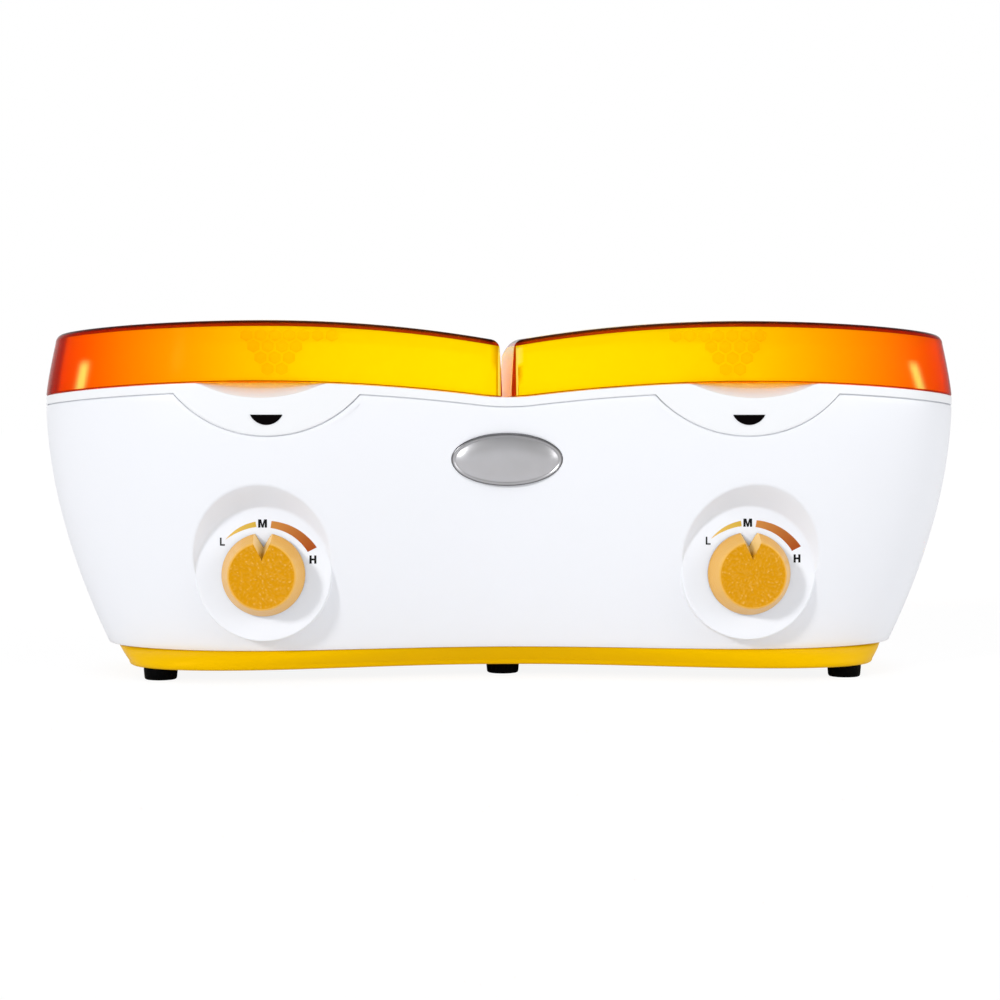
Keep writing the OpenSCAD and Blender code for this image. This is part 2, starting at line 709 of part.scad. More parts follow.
// Ring on the rounded upper edge: share runs from 0 at the wall to 1 on the roof
function lid_edge(share, t) =
    let (r = max(lid_edge_r - t, 1))
    [for (i = [0 : lid_count - 1])
        let (p = lid_spot(i, lean(i) + t + r * (1 - cos(90 * share))))
        [p[0], p[1], roof(p[0], p[1]) - t - r * (1 - sin(90 * share))]];
function lid_roof(share, t) =
    [for (p = lid_edge(1, t))
        let (x = well_x + (p[0] - well_x) * share, y = p[1] * share)
        [x, y, roof(x, y) - t]];
roof_shares = [0.72, 0.42, 0.12];
module lid_shell() {
    capped_skin(concat(
        [for (i = [2 : -1 : 0]) lid_roof(roof_shares[i], lid_t)],
        [lid_edge(1, lid_t), lid_edge(0, lid_t), lid_rim(lid_t), lid_rim(0)],
        [lid_edge(0, 0), lid_edge(0.5, 0), lid_edge(1, 0)],
        [for (share = roof_shares) lid_roof(share, 0)]));
}
web_t = 3;
web_sink = 1.6;
module lid_right_shape() {
    difference() {
        union() {
            lid_shell();
            translate([hinge_x, hinge_y, hinge_z]) rotate([0, 90, 0])
                cylinder(h = barrel_l, r = barrel_r, center = true);
            translate([hinge_x - barrel_l / 2, hinge_y - hinge_out - web_sink, hinge_z - web_t / 3])
                cube([barrel_l, hinge_out + web_sink, web_t]);
        }
        translate([hinge_x, hinge_y, hinge_z]) rotate([0, 90, 0])
            cylinder(h = barrel_l + 2, r = pin_r + pin_clear, center = true);
    }
}
module lid_right() { color("orange") lid_right_shape(); }
module lid_left() { color("orange") mirror([1, 0, 0]) lid_right_shape(); }

module hinge_pin(side) {
    color("silver") translate([side * hinge_x, hinge_y, hinge_z]) rotate([0, 90, 0])
        cylinder(h = barrel_l + 2 * (ear_t + barrel_play), r = pin_r, center = true);
}

// Well pot with its flange, seal and standoff
module well_pot(side) {
    color("silver") translate([side * well_x, 0, 0]) difference() {
        union() {
            translate([0, 0, pot_bottom_z])
                cylinder(h = flange_z + flange_t - pot_bottom_z, r = pot_r + pot_t, $fn = 96);
            translate([0, 0, flange_z])
                cylinder(h = flange_t, r = pot_r + pot_t + flange_w, $fn = 96);
        }
        translate([0, 0, pot_floor_z]) cylinder(h = pot_depth + 1, r = pot_r, $fn = 96);
    }
}
module pot_seal(side) {
    color("lightgray") translate([side * well_x, 0, land_z]) difference() {
        cylinder(h = seal_t, r = pot_r + pot_t + flange_w - pot_hole_clear);
        translate([0, 0, -1]) cylinder(h = seal_t + 2, r = pot_hole_r);
    }
}
standoff_bite = 8;
module pot_standoff(side) {
    color("silver") translate([side * well_x, 0, standoff_seat_z]) difference() {
        cylinder(h = pot_bottom_z - standoff_seat_z, r = standoff_r);
        translate([0, 0, -1]) cylinder(h = standoff_bite + 1, r = screw_r + pilot_clear);
    }
}

// Heater band with clamp lugs, and the insulation round it, both open at the rear
module seam_wedge() {
    translate([-band_seam_w / 2, 0, -1]) cube([band_seam_w, far / 4, band_h * 3]);
}
band_r = pot_r + pot_t + nest_clear / 2;
lug_h = 12;
lug_out = 8;
lug_t = 2;
lug_lift = 0.6;
clamp_screw_over = 4;
module heater_band(side) {
    color("tan") translate([side * well_x, 0, band_z]) {
        difference() {
            cylinder(h = band_h, r = band_r + band_t);
            translate([0, 0, -1]) cylinder(h = band_h + 2, r = band_r);
            seam_wedge();
        }
        for (end = [0, 1]) mirror([end, 0, 0])
            translate([band_seam_w / 2 - eps, sqrt(pow(band_r, 2) - pow(band_seam_w / 2, 2)) + lug_lift,
                       band_h / 2])
                translate([-lug_t / 2, 0, 0]) cube([lug_t, lug_out, lug_h]);
        translate([0, band_r + lug_out * 0.6, band_h / 2 + lug_h / 2]) rotate([0, 90, 0])
            cylinder(h = band_seam_w + clamp_screw_over, r = screw_r, center = true);
    }
}
wrap_r = band_r + band_t + nest_clear;
wrap_seam_w = band_seam_w + 6;
module insulation_wrap(side) {
    color("beige") translate([side * well_x, 0, band_z - wrap_over]) difference() {
        cylinder(h = band_h + 2 * wrap_over, r = wrap_r + wrap_t);
        translate([0, 0, -1]) cylinder(h = band_h + 2 * wrap_over + 2, r = wrap_r);
        translate([-wrap_seam_w / 2, 0, -1])
            cube([wrap_seam_w, far / 4, band_h + 2 * wrap_over + 2]);
    }
}
fuse_r = 2.2;
fuse_l = 13;
lead_r = 0.6;
lead_l = 4;
module thermal_fuse(side) {
    color("khaki") translate([side * well_x, pot_r + pot_t + fuse_r + nest_clear / 2, band_z]) {
        cylinder(h = fuse_l, r = fuse_r);
        translate([0, 0, -lead_l]) cylinder(h = fuse_l + 2 * lead_l - eps, r = lead_r);
    }
}

// Thermostat behind each pod floor, held by a bush and nut
bush_over = 0.9;
bush_out = nut_t + bush_over;
blade_x = 7;
blade_w = 6.3;
blade_t = 0.8;
blade_l = 7;
blade_root = 4;
module thermostat(side) {
    color("saddlebrown") at_dial(side) difference() {
        union() {
            translate([0, 0, -wall - stat_d]) cylinder(h = stat_d, r = stat_r);
            translate([0, 0, -wall - eps]) cylinder(h = wall + bush_out + eps, r = bush_r);
            for (x = [-blade_x, blade_x])
                translate([x - blade_w / 2, -stat_r - blade_l, -wall - stat_d / 2])
                    cube([blade_w, blade_l + blade_root, blade_t]);
        }
        translate([0, 0, -stat_d + 1]) cylinder(h = far / 8, r = shaft_r + shaft_clear);
    }
}
module bush_nut(side) {
    color("silver") at_dial(side) difference() {
        cylinder(h = nut_t, r = nut_af / 2 / cos(30), $fn = 6);
        translate([0, 0, -1]) cylinder(h = nut_t + 2, r = bush_r + pilot_clear);
    }
}

// Knob with a slanted pointer notch, on a shaft with a flat
shaft_flat = shaft_r * 0.4;
shaft_end_gap = 0.5;
shaft_root = -stat_d + 1 + shaft_end_gap;
knob_face_t = 3;
shaft_top = knob_gap + knob_h - knob_face_t;
nut_room_r = nut_af / 2 / cos(30) + 1.2;
nut_room_h = bush_out + 0.5;
skirt_h = 2;
module flatted_shaft(r, low, high, flat_from) {
    difference() {
        translate([0, 0, low]) cylinder(h = high - low, r = r);
        translate([-far / 16, shaft_flat + r - shaft_r, flat_from])
            cube([far / 8, far / 8, far / 8]);
    }
}
module notch_wedge() {
    out = knob_r + 4;
    grow_face = notch_w / 2 * (out - notch_face_r) / (knob_face_r - notch_face_r);
    grow_base = notch_w / 2 * (out - notch_base_r) / (knob_r - notch_base_r);
    low = [[0, notch_base_r, 0], [grow_base, out, 0], [-grow_base, out, 0]];
    high = [[0, notch_face_r, knob_gap + knob_h], [grow_face, out, knob_gap + knob_h],
            [-grow_face, out, knob_gap + knob_h]];
    rise = 1.2;
    over = [for (i = [0 : 2]) high[i] + (high[i] - low[i]) * (rise - 1)];
    polyhedron(concat(low, over),
        [[0, 1, 2], [5, 4, 3], [0, 3, 4, 1], [1, 4, 5, 2], [2, 5, 3, 0]]);
}
module knob(side) {
    color("orange") at_dial(side) difference() {
        translate([0, 0, knob_gap]) union() {
            cylinder(h = skirt_h, r = knob_r);
            translate([0, 0, skirt_h])
                cylinder(h = knob_h - skirt_h, r1 = knob_r, r2 = knob_face_r);
        }
        notch_wedge();
        translate([0, 0, knob_gap - 1]) cylinder(h = nut_room_h - knob_gap + 1, r = nut_room_r);
        flatted_shaft(shaft_r + eps, 0, shaft_top + nest_clear, nut_room_h);
    }
}
module knob_shaft(side) {
    color("silver") at_dial(side) flatted_shaft(shaft_r, shaft_root, shaft_top, nut_room_h - hole_clear);
}

module indicator_lens(side) {
    color("maroon") at_lens(side) lens_shape(0, lens_d);
}
module neon_lamp(side) {
    color("orangered") translate([side * tongue_x, lamp_y, lamp_z]) rotate([0, 90, 0]) {
        translate([0, 0, -lamp_l / 2]) cylinder(h = lamp_l - lamp_r, r = lamp_r);
        translate([0, 0, lamp_l / 2 - lamp_r]) sphere(r = lamp_r);
    }
}

badge_dome = 1.4;
badge_rim_w = 1.5;
badge_crown_inset = [6, 5];
module badge_plate() {
    color("silver") at_badge() {
        oval(badge_w, badge_h, badge_t);
        translate([0, 0, badge_t]) hull() {
            translate([0, 0, -eps])
                oval(badge_w - 2 * badge_rim_w, badge_h - 2 * badge_rim_w, eps);
            translate([0, 0, badge_dome - eps])
                oval(badge_w - 2 * badge_crown_inset[0], badge_h - 2 * badge_crown_inset[1], eps);
        }
    }
}

module cord_gland() {
    color("dimgray") at_gland() difference() {
        union() {
            cylinder(h = gland_flange_t, r = gland_r);
            translate([0, 0, -4 * wall]) cylinder(h = 4 * wall + eps, r = gland_neck_r);
        }
        translate([0, 0, -far / 16]) cylinder(h = far / 8, r = cord_r);
    }
}

block_l = 40;
block_w = 18;
block_h = 14;
block_ways = 4;
block_bore_r = 2;
module terminal_block() {
    color("ivory") translate([0, 0, foot_h + tray_floor_t]) difference() {
        translate([-block_l / 2, -block_w / 2, 0]) cube([block_l, block_w, block_h]);
        for (i = [0 : block_ways - 1])
            translate([block_l * (i + 0.5) / block_ways - block_l / 2, 0, block_h / 2]) {
                rotate([90, 0, 0]) cylinder(h = block_w + 2, r = block_bore_r, center = true);
                for (y = [-block_w / 4, block_w / 4]) translate([0, y, 0])
                    cylinder(h = block_h, r = screw_r + hole_clear);
            }
    }
}

// Screw with its head below its shank
module screw(length) {
    cylinder(h = screw_head_h, r = screw_head_r);
    cylinder(h = screw_head_h + length, r = screw_r);
}
base_head_z = foot_h + tray_floor_t - screw_head_h / 2;
screw_end_gap = 2;
module base_screws() {
    color("silver") {
        mirrored_x() for (post = base_posts) translate([post[0], post[1], base_head_z])
            screw(base_top_z + base_boss_h - 2 * screw_end_gap - base_head_z - screw_head_h);
        both_sides() translate([0, 0, foot_h + tray_floor_t / 2 - screw_head_h])
            screw(standoff_seat_z + standoff_bite - screw_end_gap - foot_h - tray_floor_t / 2);
    }
}
module deck_screws() {
    color("silver") mirrored_x() for (post = deck_posts)
        translate([post[0], post[1], deck_tab_z - screw_head_h])
            screw(deck_tab_t + deck_screw_bite);
}

housing();
top_deck();
base_tray();
foot(foot_spots[0]);  // foot_front_left
foot(foot_spots[1]);  // foot_front_middle
foot(foot_spots[2]);  // foot_front_right
foot(foot_spots[3]);  // foot_rear_left
foot(foot_spots[4]);  // foot_rear_middle
foot(foot_spots[5]);  // foot_rear_right
lid_left();
lid_right();
hinge_pin(-1);  // hinge_pin_left
hinge_pin(1);  // hinge_pin_right
well_pot(-1);  // well_pot_left
well_pot(1);  // well_pot_right
pot_seal(-1);  // pot_seal_left
pot_seal(1);  // pot_seal_right
pot_standoff(-1);  // pot_standoff_left
pot_standoff(1);  // pot_standoff_right
heater_band(-1);  // heater_band_left
heater_band(1);  // heater_band_right
insulation_wrap(-1);  // insulation_wrap_left
insulation_wrap(1);  // insulation_wrap_right
thermal_fuse(-1);  // thermal_fuse_left
thermal_fuse(1);  // thermal_fuse_right
thermostat(-1);  // thermostat_left
thermostat(1);  // thermostat_right
bush_nut(-1);  // bush_nut_left
bush_nut(1);  // bush_nut_right
knob(-1);  // knob_left
knob(1);  // knob_right
knob_shaft(-1);  // knob_shaft_left
knob_shaft(1);  // knob_shaft_right
indicator_lens(-1);  // indicator_lens_left
indicator_lens(1);  // indicator_lens_right
neon_lamp(-1);  // neon_lamp_left
neon_lamp(1);  // neon_lamp_right
badge_plate();
cord_gland();
terminal_block();
base_screws();
deck_screws();
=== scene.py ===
import math

import bmesh
import bpy
import numpy as np
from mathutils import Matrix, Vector, noise


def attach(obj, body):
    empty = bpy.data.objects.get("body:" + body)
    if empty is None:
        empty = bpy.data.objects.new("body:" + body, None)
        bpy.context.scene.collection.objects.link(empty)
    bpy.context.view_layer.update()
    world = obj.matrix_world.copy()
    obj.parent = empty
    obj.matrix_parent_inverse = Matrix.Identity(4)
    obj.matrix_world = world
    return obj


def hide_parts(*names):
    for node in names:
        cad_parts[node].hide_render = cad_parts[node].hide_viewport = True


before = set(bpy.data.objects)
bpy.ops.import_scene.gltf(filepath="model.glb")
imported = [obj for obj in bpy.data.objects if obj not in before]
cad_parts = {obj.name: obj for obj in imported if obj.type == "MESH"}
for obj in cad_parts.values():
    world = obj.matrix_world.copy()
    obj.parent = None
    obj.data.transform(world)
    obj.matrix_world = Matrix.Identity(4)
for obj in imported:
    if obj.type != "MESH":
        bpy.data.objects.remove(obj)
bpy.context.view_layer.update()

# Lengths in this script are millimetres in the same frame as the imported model, and become
# metres where a mesh is made.
MM = 0.001

# Housing plan and heights
HALF_W = 205.0
PLAN_FRONT = 104.3
PLAN_REAR = 97.6
PLAN_POWER = 2.6
WAIST_IN = 29.7
WAIST_REACH = 150.7
WALL = 2.5
FOOT_H = 5.2
BASE_TOP = 13.7
SEAM_Z = 124.9
FLARE_TOP = 120.0
FLARE_IN = 26.8
FLARE_POWER = 1.815

# Wells and deck
WELL_X = 102.0
POT_R = 49.0
POT_T = 1.2
POT_DEPTH = 88.0
FLANGE_W = 5.8
FLANGE_Z = 126.8
FLANGE_T = 1.5
DECK_H = 4.0
CREST_R_IN = 760.0
CREST_R_OUT = 1050.0
VALLEY_R = 100.0
LAND_Z = 126.0
LAND_R = 57.0
POT_HOLE_R = 50.7
TONGUE_X = 101.2
TONGUE_R = 51.5
TONGUE_Z = 157.9
SEAM_GAP = 0.4
SCOOP_R = 89.335
SCOOP_Y = -134.94
SCOOP_Z = 199.90

# Lids and their hinges
CREST_Z = 157.6
LID_R_IN = 566.0
LID_R_OUT = 750.0
LID_CROWN_R = 1300.0
LID_SPLIT = 4.0
LID_SEAT_GAP = 0.3
LID_T = 2.2
LID_EDGE_R = 3.5
LID_LEAN = 3.5
LID_LEAN_END = 4.2
LID_LEAN_SPLIT = 1.0
LID_BULGE = 1.25
HINGE = (112.0, 87.265, 133.052)
BARREL_R = 3.6
BARREL_L = 28.0
EAR_R = 2.6
EAR_T = 6.0
PIN_R = 1.4

# Dials
POD_X = 103.6
POD_Z = 47.5
POD_R = 28.7
POD_FLOOR_Y = -74.253
POD_SLOPE = 0.76
KNOB_R = 17.7
KNOB_FACE_R = 14.3
KNOB_BASE = 0.6
KNOB_TOP = 13.1
SKIRT_TOP = 2.6
NOTCH_FACE_R = 6.6
NOTCH_BASE_R = 11.7
NOTCH_W = 7.6

# Lens, badge and tray
LENS_W = 13.5
LENS_H = 4.3
LENS_TOP_Z = 115.3
LENS_FRONT_Y = -90.436
LENS_TILT = math.radians(4.657)
BADGE_W = 47.5
BADGE_H = 22.5
BADGE_Z = 96.4
BADGE_Y = -72.055
BADGE_LEAN = math.radians(7.6)
TRAY_STEP = 1.3
TRAY_END_STEP = 4.1
TRAY_TAPER = 4.7
TRAY_END_TAPER = 6.9
TRAY_POWER = 2.75
TRAY_LOW_POWER = 4.5
TRAY_FLOOR_T = 2.5
SIDES = {"left": -1, "right": 1}


# Shapes shared by the mouldings

# Height that stands for no limit
FAR_UP = 1000.0


def waist(x):
    drawn = WAIST_IN * (1 + np.cos(np.pi * x / WAIST_REACH)) / 2
    return np.where(np.abs(x) < WAIST_REACH, drawn, 0.0)


def outline(t, end_inset, side_inset=None, power=PLAN_POWER):
    side_inset = end_inset if side_inset is None else side_inset
    c, s = np.cos(t), np.sin(t)
    span = (np.abs(c) ** power + np.abs(s) ** power) ** (-1 / power)
    x = (HALF_W - end_inset) * c * span
    half = np.where(s < 0, PLAN_FRONT, PLAN_REAR)
    return x, (half - side_inset) * s * span - np.sign(s) * waist(x)


def wall_reach(x, inset, half):
    share = np.clip(np.abs(x) / (HALF_W - inset), 0, 1)
    return (half - inset) * (1 - share ** PLAN_POWER) ** (1 / PLAN_POWER) - waist(x)


def flare(z):
    fall = np.clip((FLARE_TOP - z) / (FLARE_TOP - BASE_TOP), 0, None)
    return FLARE_IN * fall ** FLARE_POWER


def front_wall(x, z):
    return -wall_reach(x, flare(z), PLAN_FRONT)


def arch_drop(d, r):
    return r - np.sqrt(np.maximum(r * r - d * d, 0))


def seam(x):
    x = np.abs(x)
    meet = WELL_X * VALLEY_R / (CREST_R_IN + VALLEY_R)
    valley_z = SEAM_Z - CREST_R_IN + math.sqrt((CREST_R_IN + VALLEY_R) ** 2 - WELL_X ** 2)
    crest = SEAM_Z - arch_drop(x - WELL_X, np.where(x > WELL_X, CREST_R_OUT, CREST_R_IN))
    valley = valley_z - np.sqrt(VALLEY_R ** 2 - np.minimum(x, meet) ** 2)
    return np.where(x > meet, crest, valley)


def tongue_arc(x, r):
    d = np.abs(np.abs(x) - TONGUE_X)
    return np.where(d < r, TONGUE_Z - np.sqrt(np.maximum(r * r - d * d, 0)), FAR_UP)


def soft_min(a, b, k):
    h = np.clip(0.5 + 0.5 * (b - a) / k, 0, 1)
    return b + (a - b) * h - k * h * (1 - h)


def deck_top(x, y):
    over = SCOOP_R ** 2 - (np.abs(x) - TONGUE_X) ** 2 - (y - SCOOP_Y) ** 2
    scoop = np.where(over > 0, SCOOP_Z - np.sqrt(np.maximum(over, 0)), FAR_UP)
    return soft_min(seam(x) + DECK_H, scoop, 1.0)


def tongue_ends(r, lift):
    """Where the tongue's arc meets the seam along the front."""
    x = np.linspace(1, HALF_W - 1, 40001)
    over = tongue_arc(x, r) - seam(x) - lift
    return [side * x[i] for i in np.where(over[1:] * over[:-1] < 0)[0] for side in (-1, 1)]


def read_stops(stops, x):
    """Value at x between stops of (place, value)."""
    at, value = np.array(stops).T
    return np.interp(x, at, value)


def run_along(x, y):
    return np.concatenate([[0], np.cumsum(np.hypot(np.diff(x), np.diff(y)))])


def outline_steps(stops, spacing):
    """Angles round the plan at even spacing, with one at each stop along the front."""
    fine = np.linspace(0, 2 * np.pi, 14401)
    x, y = outline(fine, 0)
    run = run_along(x, y)
    front = fine >= np.pi
    marks = [0, np.pi / 2, np.pi, 1.5 * np.pi, 2 * np.pi]
    marks += [float(np.interp(s, x[front], fine[front])) for s in stops]
    marks = sorted(marks)
    steps = []
    for a, b in zip(marks, marks[1:]):
        ra, rb = np.interp([a, b], fine, run)
        count = max(1, round((rb - ra) / spacing))
        steps.append(np.interp(np.linspace(ra, rb, count + 1)[:-1], run, fine))
    return np.concatenate(steps)


class Skin:
    """A mesh built from rows of points, in millimetres."""

    def __init__(self):
        self.points = []
        self.tints = []
        self.faces = []
        self.count = 0

    def row(self, x, y, z, tint=0.0):
        x, y, z, tint = np.broadcast_arrays(np.atleast_1d(x), y, z, tint)
        self.points.append(np.column_stack([x, y, z]).astype(float))
        self.tints.append(tint.astype(float))
        first = self.count
        self.count += len(x)
        return np.arange(first, self.count)

    def strip(self, a, b, closed=True, keep=None):
        quads = np.column_stack([a, np.roll(a, -1), np.roll(b, -1), b])
        if not closed:
            quads = quads[:-1]
        if keep is not None:
            quads = quads[keep[:len(quads)]]
        self.faces += quads.tolist()

    def strips(self, rows, closed=True):
        for a, b in zip(rows, rows[1:]):
            self.strip(a, b, closed)

    def fan(self, ring, x, y, z):
        centre = self.row(x, y, z)[0]
        after = np.roll(ring, -1)
        self.faces += [[int(a), int(b), int(centre)] for a, b in zip(ring, after)]

    def face(self, ring):
        self.faces.append([int(i) for i in ring])

    def solid(self, rows):
        """Joins rows into a wall and closes it at both ends."""
        self.strips(rows)
        self.face(rows[0])
        self.face(rows[-1])

    def onward(self, ring, x, y, z):
        """Joins a new row to the last one and returns it."""
        made = self.row(x, y, z)
        self.strip(ring, made)
        return made

    def join(self, other):
        self.faces += [[i + self.count for i in face] for face in other.faces]
        self.points += other.points
        self.tints += other.tints
        self.count += other.count

    def all_points(self):
        return np.concatenate(self.points)


def placed(name, data):
    made = bpy.data.objects.new(name, data)
    bpy.context.scene.collection.objects.link(made)
    return made


def moulding(name, skin, material, nodes=(), body="warmer", sharp=35, closed=True):
    """A piece of the object from a skin. A closed one gets its faces turned outwards."""
    mesh = bpy.data.meshes.new(name)
    mesh.from_pydata((skin.all_points() * MM).tolist(), [], skin.faces)
    tint = mesh.attributes.new("tint", "FLOAT", "POINT")
    tint.data.foreach_set("value", np.concatenate(skin.tints))
    work = bmesh.new()
    work.from_mesh(mesh)
    bmesh.ops.remove_doubles(work, verts=work.verts, dist=2e-6)
    bmesh.ops.dissolve_degenerate(work, edges=work.edges, dist=1e-7)
    if closed:
        bmesh.ops.recalc_face_normals(work, faces=work.faces)
    work.to_mesh(mesh)
    work.free()
    piece = placed(name, mesh)
    mesh.materials.append(material)
    smooth(piece, sharp)
    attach(piece, body)
    if nodes:
        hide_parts(*nodes)
    return piece


def smooth(piece, sharp):
    piece.data.shade_smooth()
    piece.data.set_sharp_from_angle(angle=math.radians(sharp))


def thicken(piece):
    wall = piece.modifiers.new("wall", "SOLIDIFY")
    wall.thickness = WALL * MM
    wall.offset = -1


def full_turn(steps):
    return np.linspace(0, 2 * np.pi, steps, endpoint=False)


def polar(r, turn):
    return r * np.cos(turn), r * np.sin(turn)


def lathe(profile, place, steps):
    """A skin turned about an axis. place takes (across, up, along) to x, y, z."""
    skin, turn = Skin(), full_turn(steps)
    skin.strips([skin.row(*place(*polar(r, turn), along)) for r, along in profile])
    return skin


def bend(a, corner, b, steps):
    """Points of a round corner between a and b."""
    return [(1 - u) ** 2 * a + 2 * u * (1 - u) * corner + u * u * b for u in steps]


def rounded(profile, corners, steps=5):
    """A profile with some of its corners rounded: corners gives radius by index."""
    points = [np.array(p, float) for p in profile]
    made = []
    for i, p in enumerate(points):
        if i not in corners:
            made.append(p)
            continue
        back, ahead = points[i - 1] - p, points[i + 1] - p
        a = p + back / np.linalg.norm(back) * corners[i]
        b = p + ahead / np.linalg.norm(ahead) * corners[i]
        made += bend(a, p, b, np.linspace(0, 1, steps))
    return made


# Materials

def ink(code):
    """A colour code as the renderer's linear colour."""
    parts = [int(code[i:i + 2], 16) / 255 for i in (1, 3, 5)]
    parts = [p / 12.92 if p <= 0.04045 else ((p + 0.055) / 1.055) ** 2.4 for p in parts]
    return (*parts, 1.0)


def feed(taker, inputs):
    """Fills a node's inputs. One that is a socket is linked, and any other is set."""
    for label, value in inputs.items():
        if isinstance(value, bpy.types.NodeSocket):
            taker.id_data.links.new(value, taker.inputs[label])
        else:
            taker.inputs[label].default_value = value


def node(tree, kind, inputs=None, **settings):
    made = tree.nodes.new("ShaderNode" + kind)
    for key, value in settings.items():
        setattr(made, key, value)
    feed(made, inputs or {})
    return made


def maths(tree, a, b, operation="MULTIPLY"):
    return node(tree, "Math", {0: a, 1: b}, operation=operation).outputs[0]


def mix(tree, share, a, b, blend="MIX"):
    return node(tree, "Mix", {0: share, 6: a, 7: b}, data_type="RGBA", blend_type=blend).outputs[2]


def tint_of(tree):
    return node(tree, "Attribute", attribute_name="tint").outputs["Fac"]


def ramp(tree, share, stops):
    """Colours at places from 0 to 1, looked up by a share."""
    made = node(tree, "ValToRGB", {0: share})
    bar = made.color_ramp
    while len(bar.elements) < len(stops):
        bar.elements.new(0.5)
    for element, (at, code) in zip(bar.elements, stops):
        element.position = at
        element.color = ink(code)
    return made.outputs[0]


def show_mixed(tree, share, a, b, end="Material Output"):
    """Sends two shaders, mixed by a share, to a tree's output."""
    mixed = node(tree, "MixShader", {0: share, 1: a.outputs[0], 2: b.outputs[0]})
    feed(tree.nodes[end], {"Surface": mixed.outputs[0]})


# Colours of a lid by distance from the split, its own yellow to red, ending in a painted dark red
# at the outer end for the long path of light through the plastic seen edge-on; then the colour of
# its painted highlights, the painted dark of its edges, its shine and the colour of the shadow it
# casts.
# The painted dark at the right lid's outer end is less dark than the left one's.
LID_STOPS = ((0.0, "#FFED00"), (0.25, "#FFE900"), (0.35, "#FFE600"), (0.47, "#FFE100"),
             (0.6, "#FFC900"), (0.72, "#FFAE00"), (0.8, "#FF9600"), (0.885, "#FF6E00"),
             (0.95, "#FF4A00"), (0.97, "#C62000"), (1.0, "#8A0E00"))
LID_PAINTED_HIGHLIGHT = "#FFFF80"
LID_RIGHT_SHARE = 0.985
LID_PAINTED_DARK_EDGE_STOPS = ((0.0, "#B83008"), (0.5, "#A82606"), (0.7, "#6E1604"), (1.0, "#1C0604"))
LID_SHINE = "#FFC040"
LID_SHADOW = "#FFD67C"
LID_CLEARNESS = 0.5
LID_IOR = 1.06

# Shared effects: each gives a colour, a roughness and the height of its relief

def effect(name, inputs):
    group = bpy.data.node_groups.new(name, "ShaderNodeTree")

    def socket(label, way):
        kind = "NodeSocketColor" if label == "Colour" else "NodeSocketFloat"
        return group.interface.new_socket(label, in_out=way, socket_type=kind)

    for label, value in inputs.items():
        socket(label, "INPUT").default_value = value
    for label in ("Colour", "Roughness", "Height"):
        socket(label, "OUTPUT")
    return group, group.nodes.new("NodeGroupInput").outputs


def finish_effect(group, given, share, shade, gloss_by, height):
    """Mixes in a shade by a share, and spreads the gloss by another pattern."""
    colour = mix(group, share, given["Colour"], shade, "MULTIPLY")
    gloss = node(group, "MapRange", {0: gloss_by, 3: given["Gloss low"], 4: given["Gloss high"]})
    feed(group.nodes.new("NodeGroupOutput"),
         {"Colour": colour, "Roughness": gloss.outputs[0], "Height": height})
    return group


def noise_on(group, vector, scale):
    return node(group, "TexNoise", {"Vector": vector, "Scale": scale}).outputs["Fac"]


def make_moulded_skin():
    """Slight drift of colour and gloss with a fine grain, as on moulded plastic."""
    group, given = effect("moulded_skin", {"Colour": (1, 1, 1, 1), "Drift": 0.05,
                                           "Grain size": 1500, "Gloss low": 0.3, "Gloss high": 0.4})
    place = node(group, "TexCoord").outputs["Object"]
    broad = noise_on(group, place, 9.0)
    fine = noise_on(group, place, given["Grain size"])
    share = maths(group, broad, given["Drift"])
    return finish_effect(group, given, share, (0.7, 0.7, 0.71, 1), broad, fine)


def make_drawn_metal():
    """Lines along one axis with a little tarnish, for drawn, spun and turned metal."""
    group, given = effect("drawn_metal", {"Colour": (1, 1, 1, 1), "Lines X": 300, "Lines Y": 300,
                                          "Lines Z": 4000, "Gloss low": 0.2, "Gloss high": 0.4})
    place = node(group, "TexCoord").outputs["Object"]
    scale = node(group, "CombineXYZ", {i: given["Lines " + axis] for i, axis in enumerate("XYZ")})
    spread = node(group, "VectorMath", {0: place, 1: scale.outputs[0]}, operation="MULTIPLY")
    lines = noise_on(group, spread.outputs[0], 1.0)
    cloud = noise_on(group, place, 60.0)
    return finish_effect(group, given, cloud, (0.8, 0.79, 0.77, 1), lines, lines)


MOULDED_SKIN = make_moulded_skin()
DRAWN_METAL = make_drawn_metal()


def material(name):
    made = bpy.data.materials.new(name)
    made.use_nodes = True
    tree = made.node_tree
    return made, tree, tree.nodes["Principled BSDF"]


def dressed(name, group, code, gloss, bump, values, settings):
    """A material whose colour, gloss and relief come from one of the shared effects."""
    made, tree, shader = material(name)
    values = {"Colour": ink(code), "Gloss low": gloss[0], "Gloss high": gloss[1], **values}
    look = node(tree, "Group", values, node_tree=group).outputs
    relief = node(tree, "Bump", {"Height": look["Height"], "Strength": bump[0],
                                 "Distance": bump[1] * MM})
    feed(shader, {"Base Color": look["Colour"], "Roughness": look["Roughness"],
                  "Normal": relief.outputs["Normal"], **settings})
    return made


def shine(code, level):
    """Settings for the tint and the strength of a shine."""
    return {"Specular Tint": ink(code), "Specular IOR Level": level}


def plastic(name, code, drift=0.05, grain=1500, gloss=(0.3, 0.42), bump=(0.15, 0.05),
            gleam=("#FFFFFF", 0.5)):
    return dressed(name, MOULDED_SKIN, code, gloss, bump, {"Drift": drift, "Grain size": grain},
                   shine(*gleam))


def metal(name, code, lines=(300, 300, 4000), gloss=(0.22, 0.38), bump=(0.15, 0.03)):
    spacing = {"Lines " + axis: value for axis, value in zip("XYZ", lines)}
    return dressed(name, DRAWN_METAL, code, gloss, bump, spacing, {"Metallic": 1.0})


def over_colour(made, share, code):
    """Mixes another colour over a material's own by a share."""
    shader = made.node_tree.nodes["Principled BSDF"]
    own = shader.inputs["Base Color"].links[0].from_socket
    feed(shader, {"Base Color": mix(made.node_tree, share, own, ink(code))})
    return made


def marked(made, code):
    """Shows another colour where a piece's tint is set."""
    return over_colour(made, tint_of(made.node_tree), code)


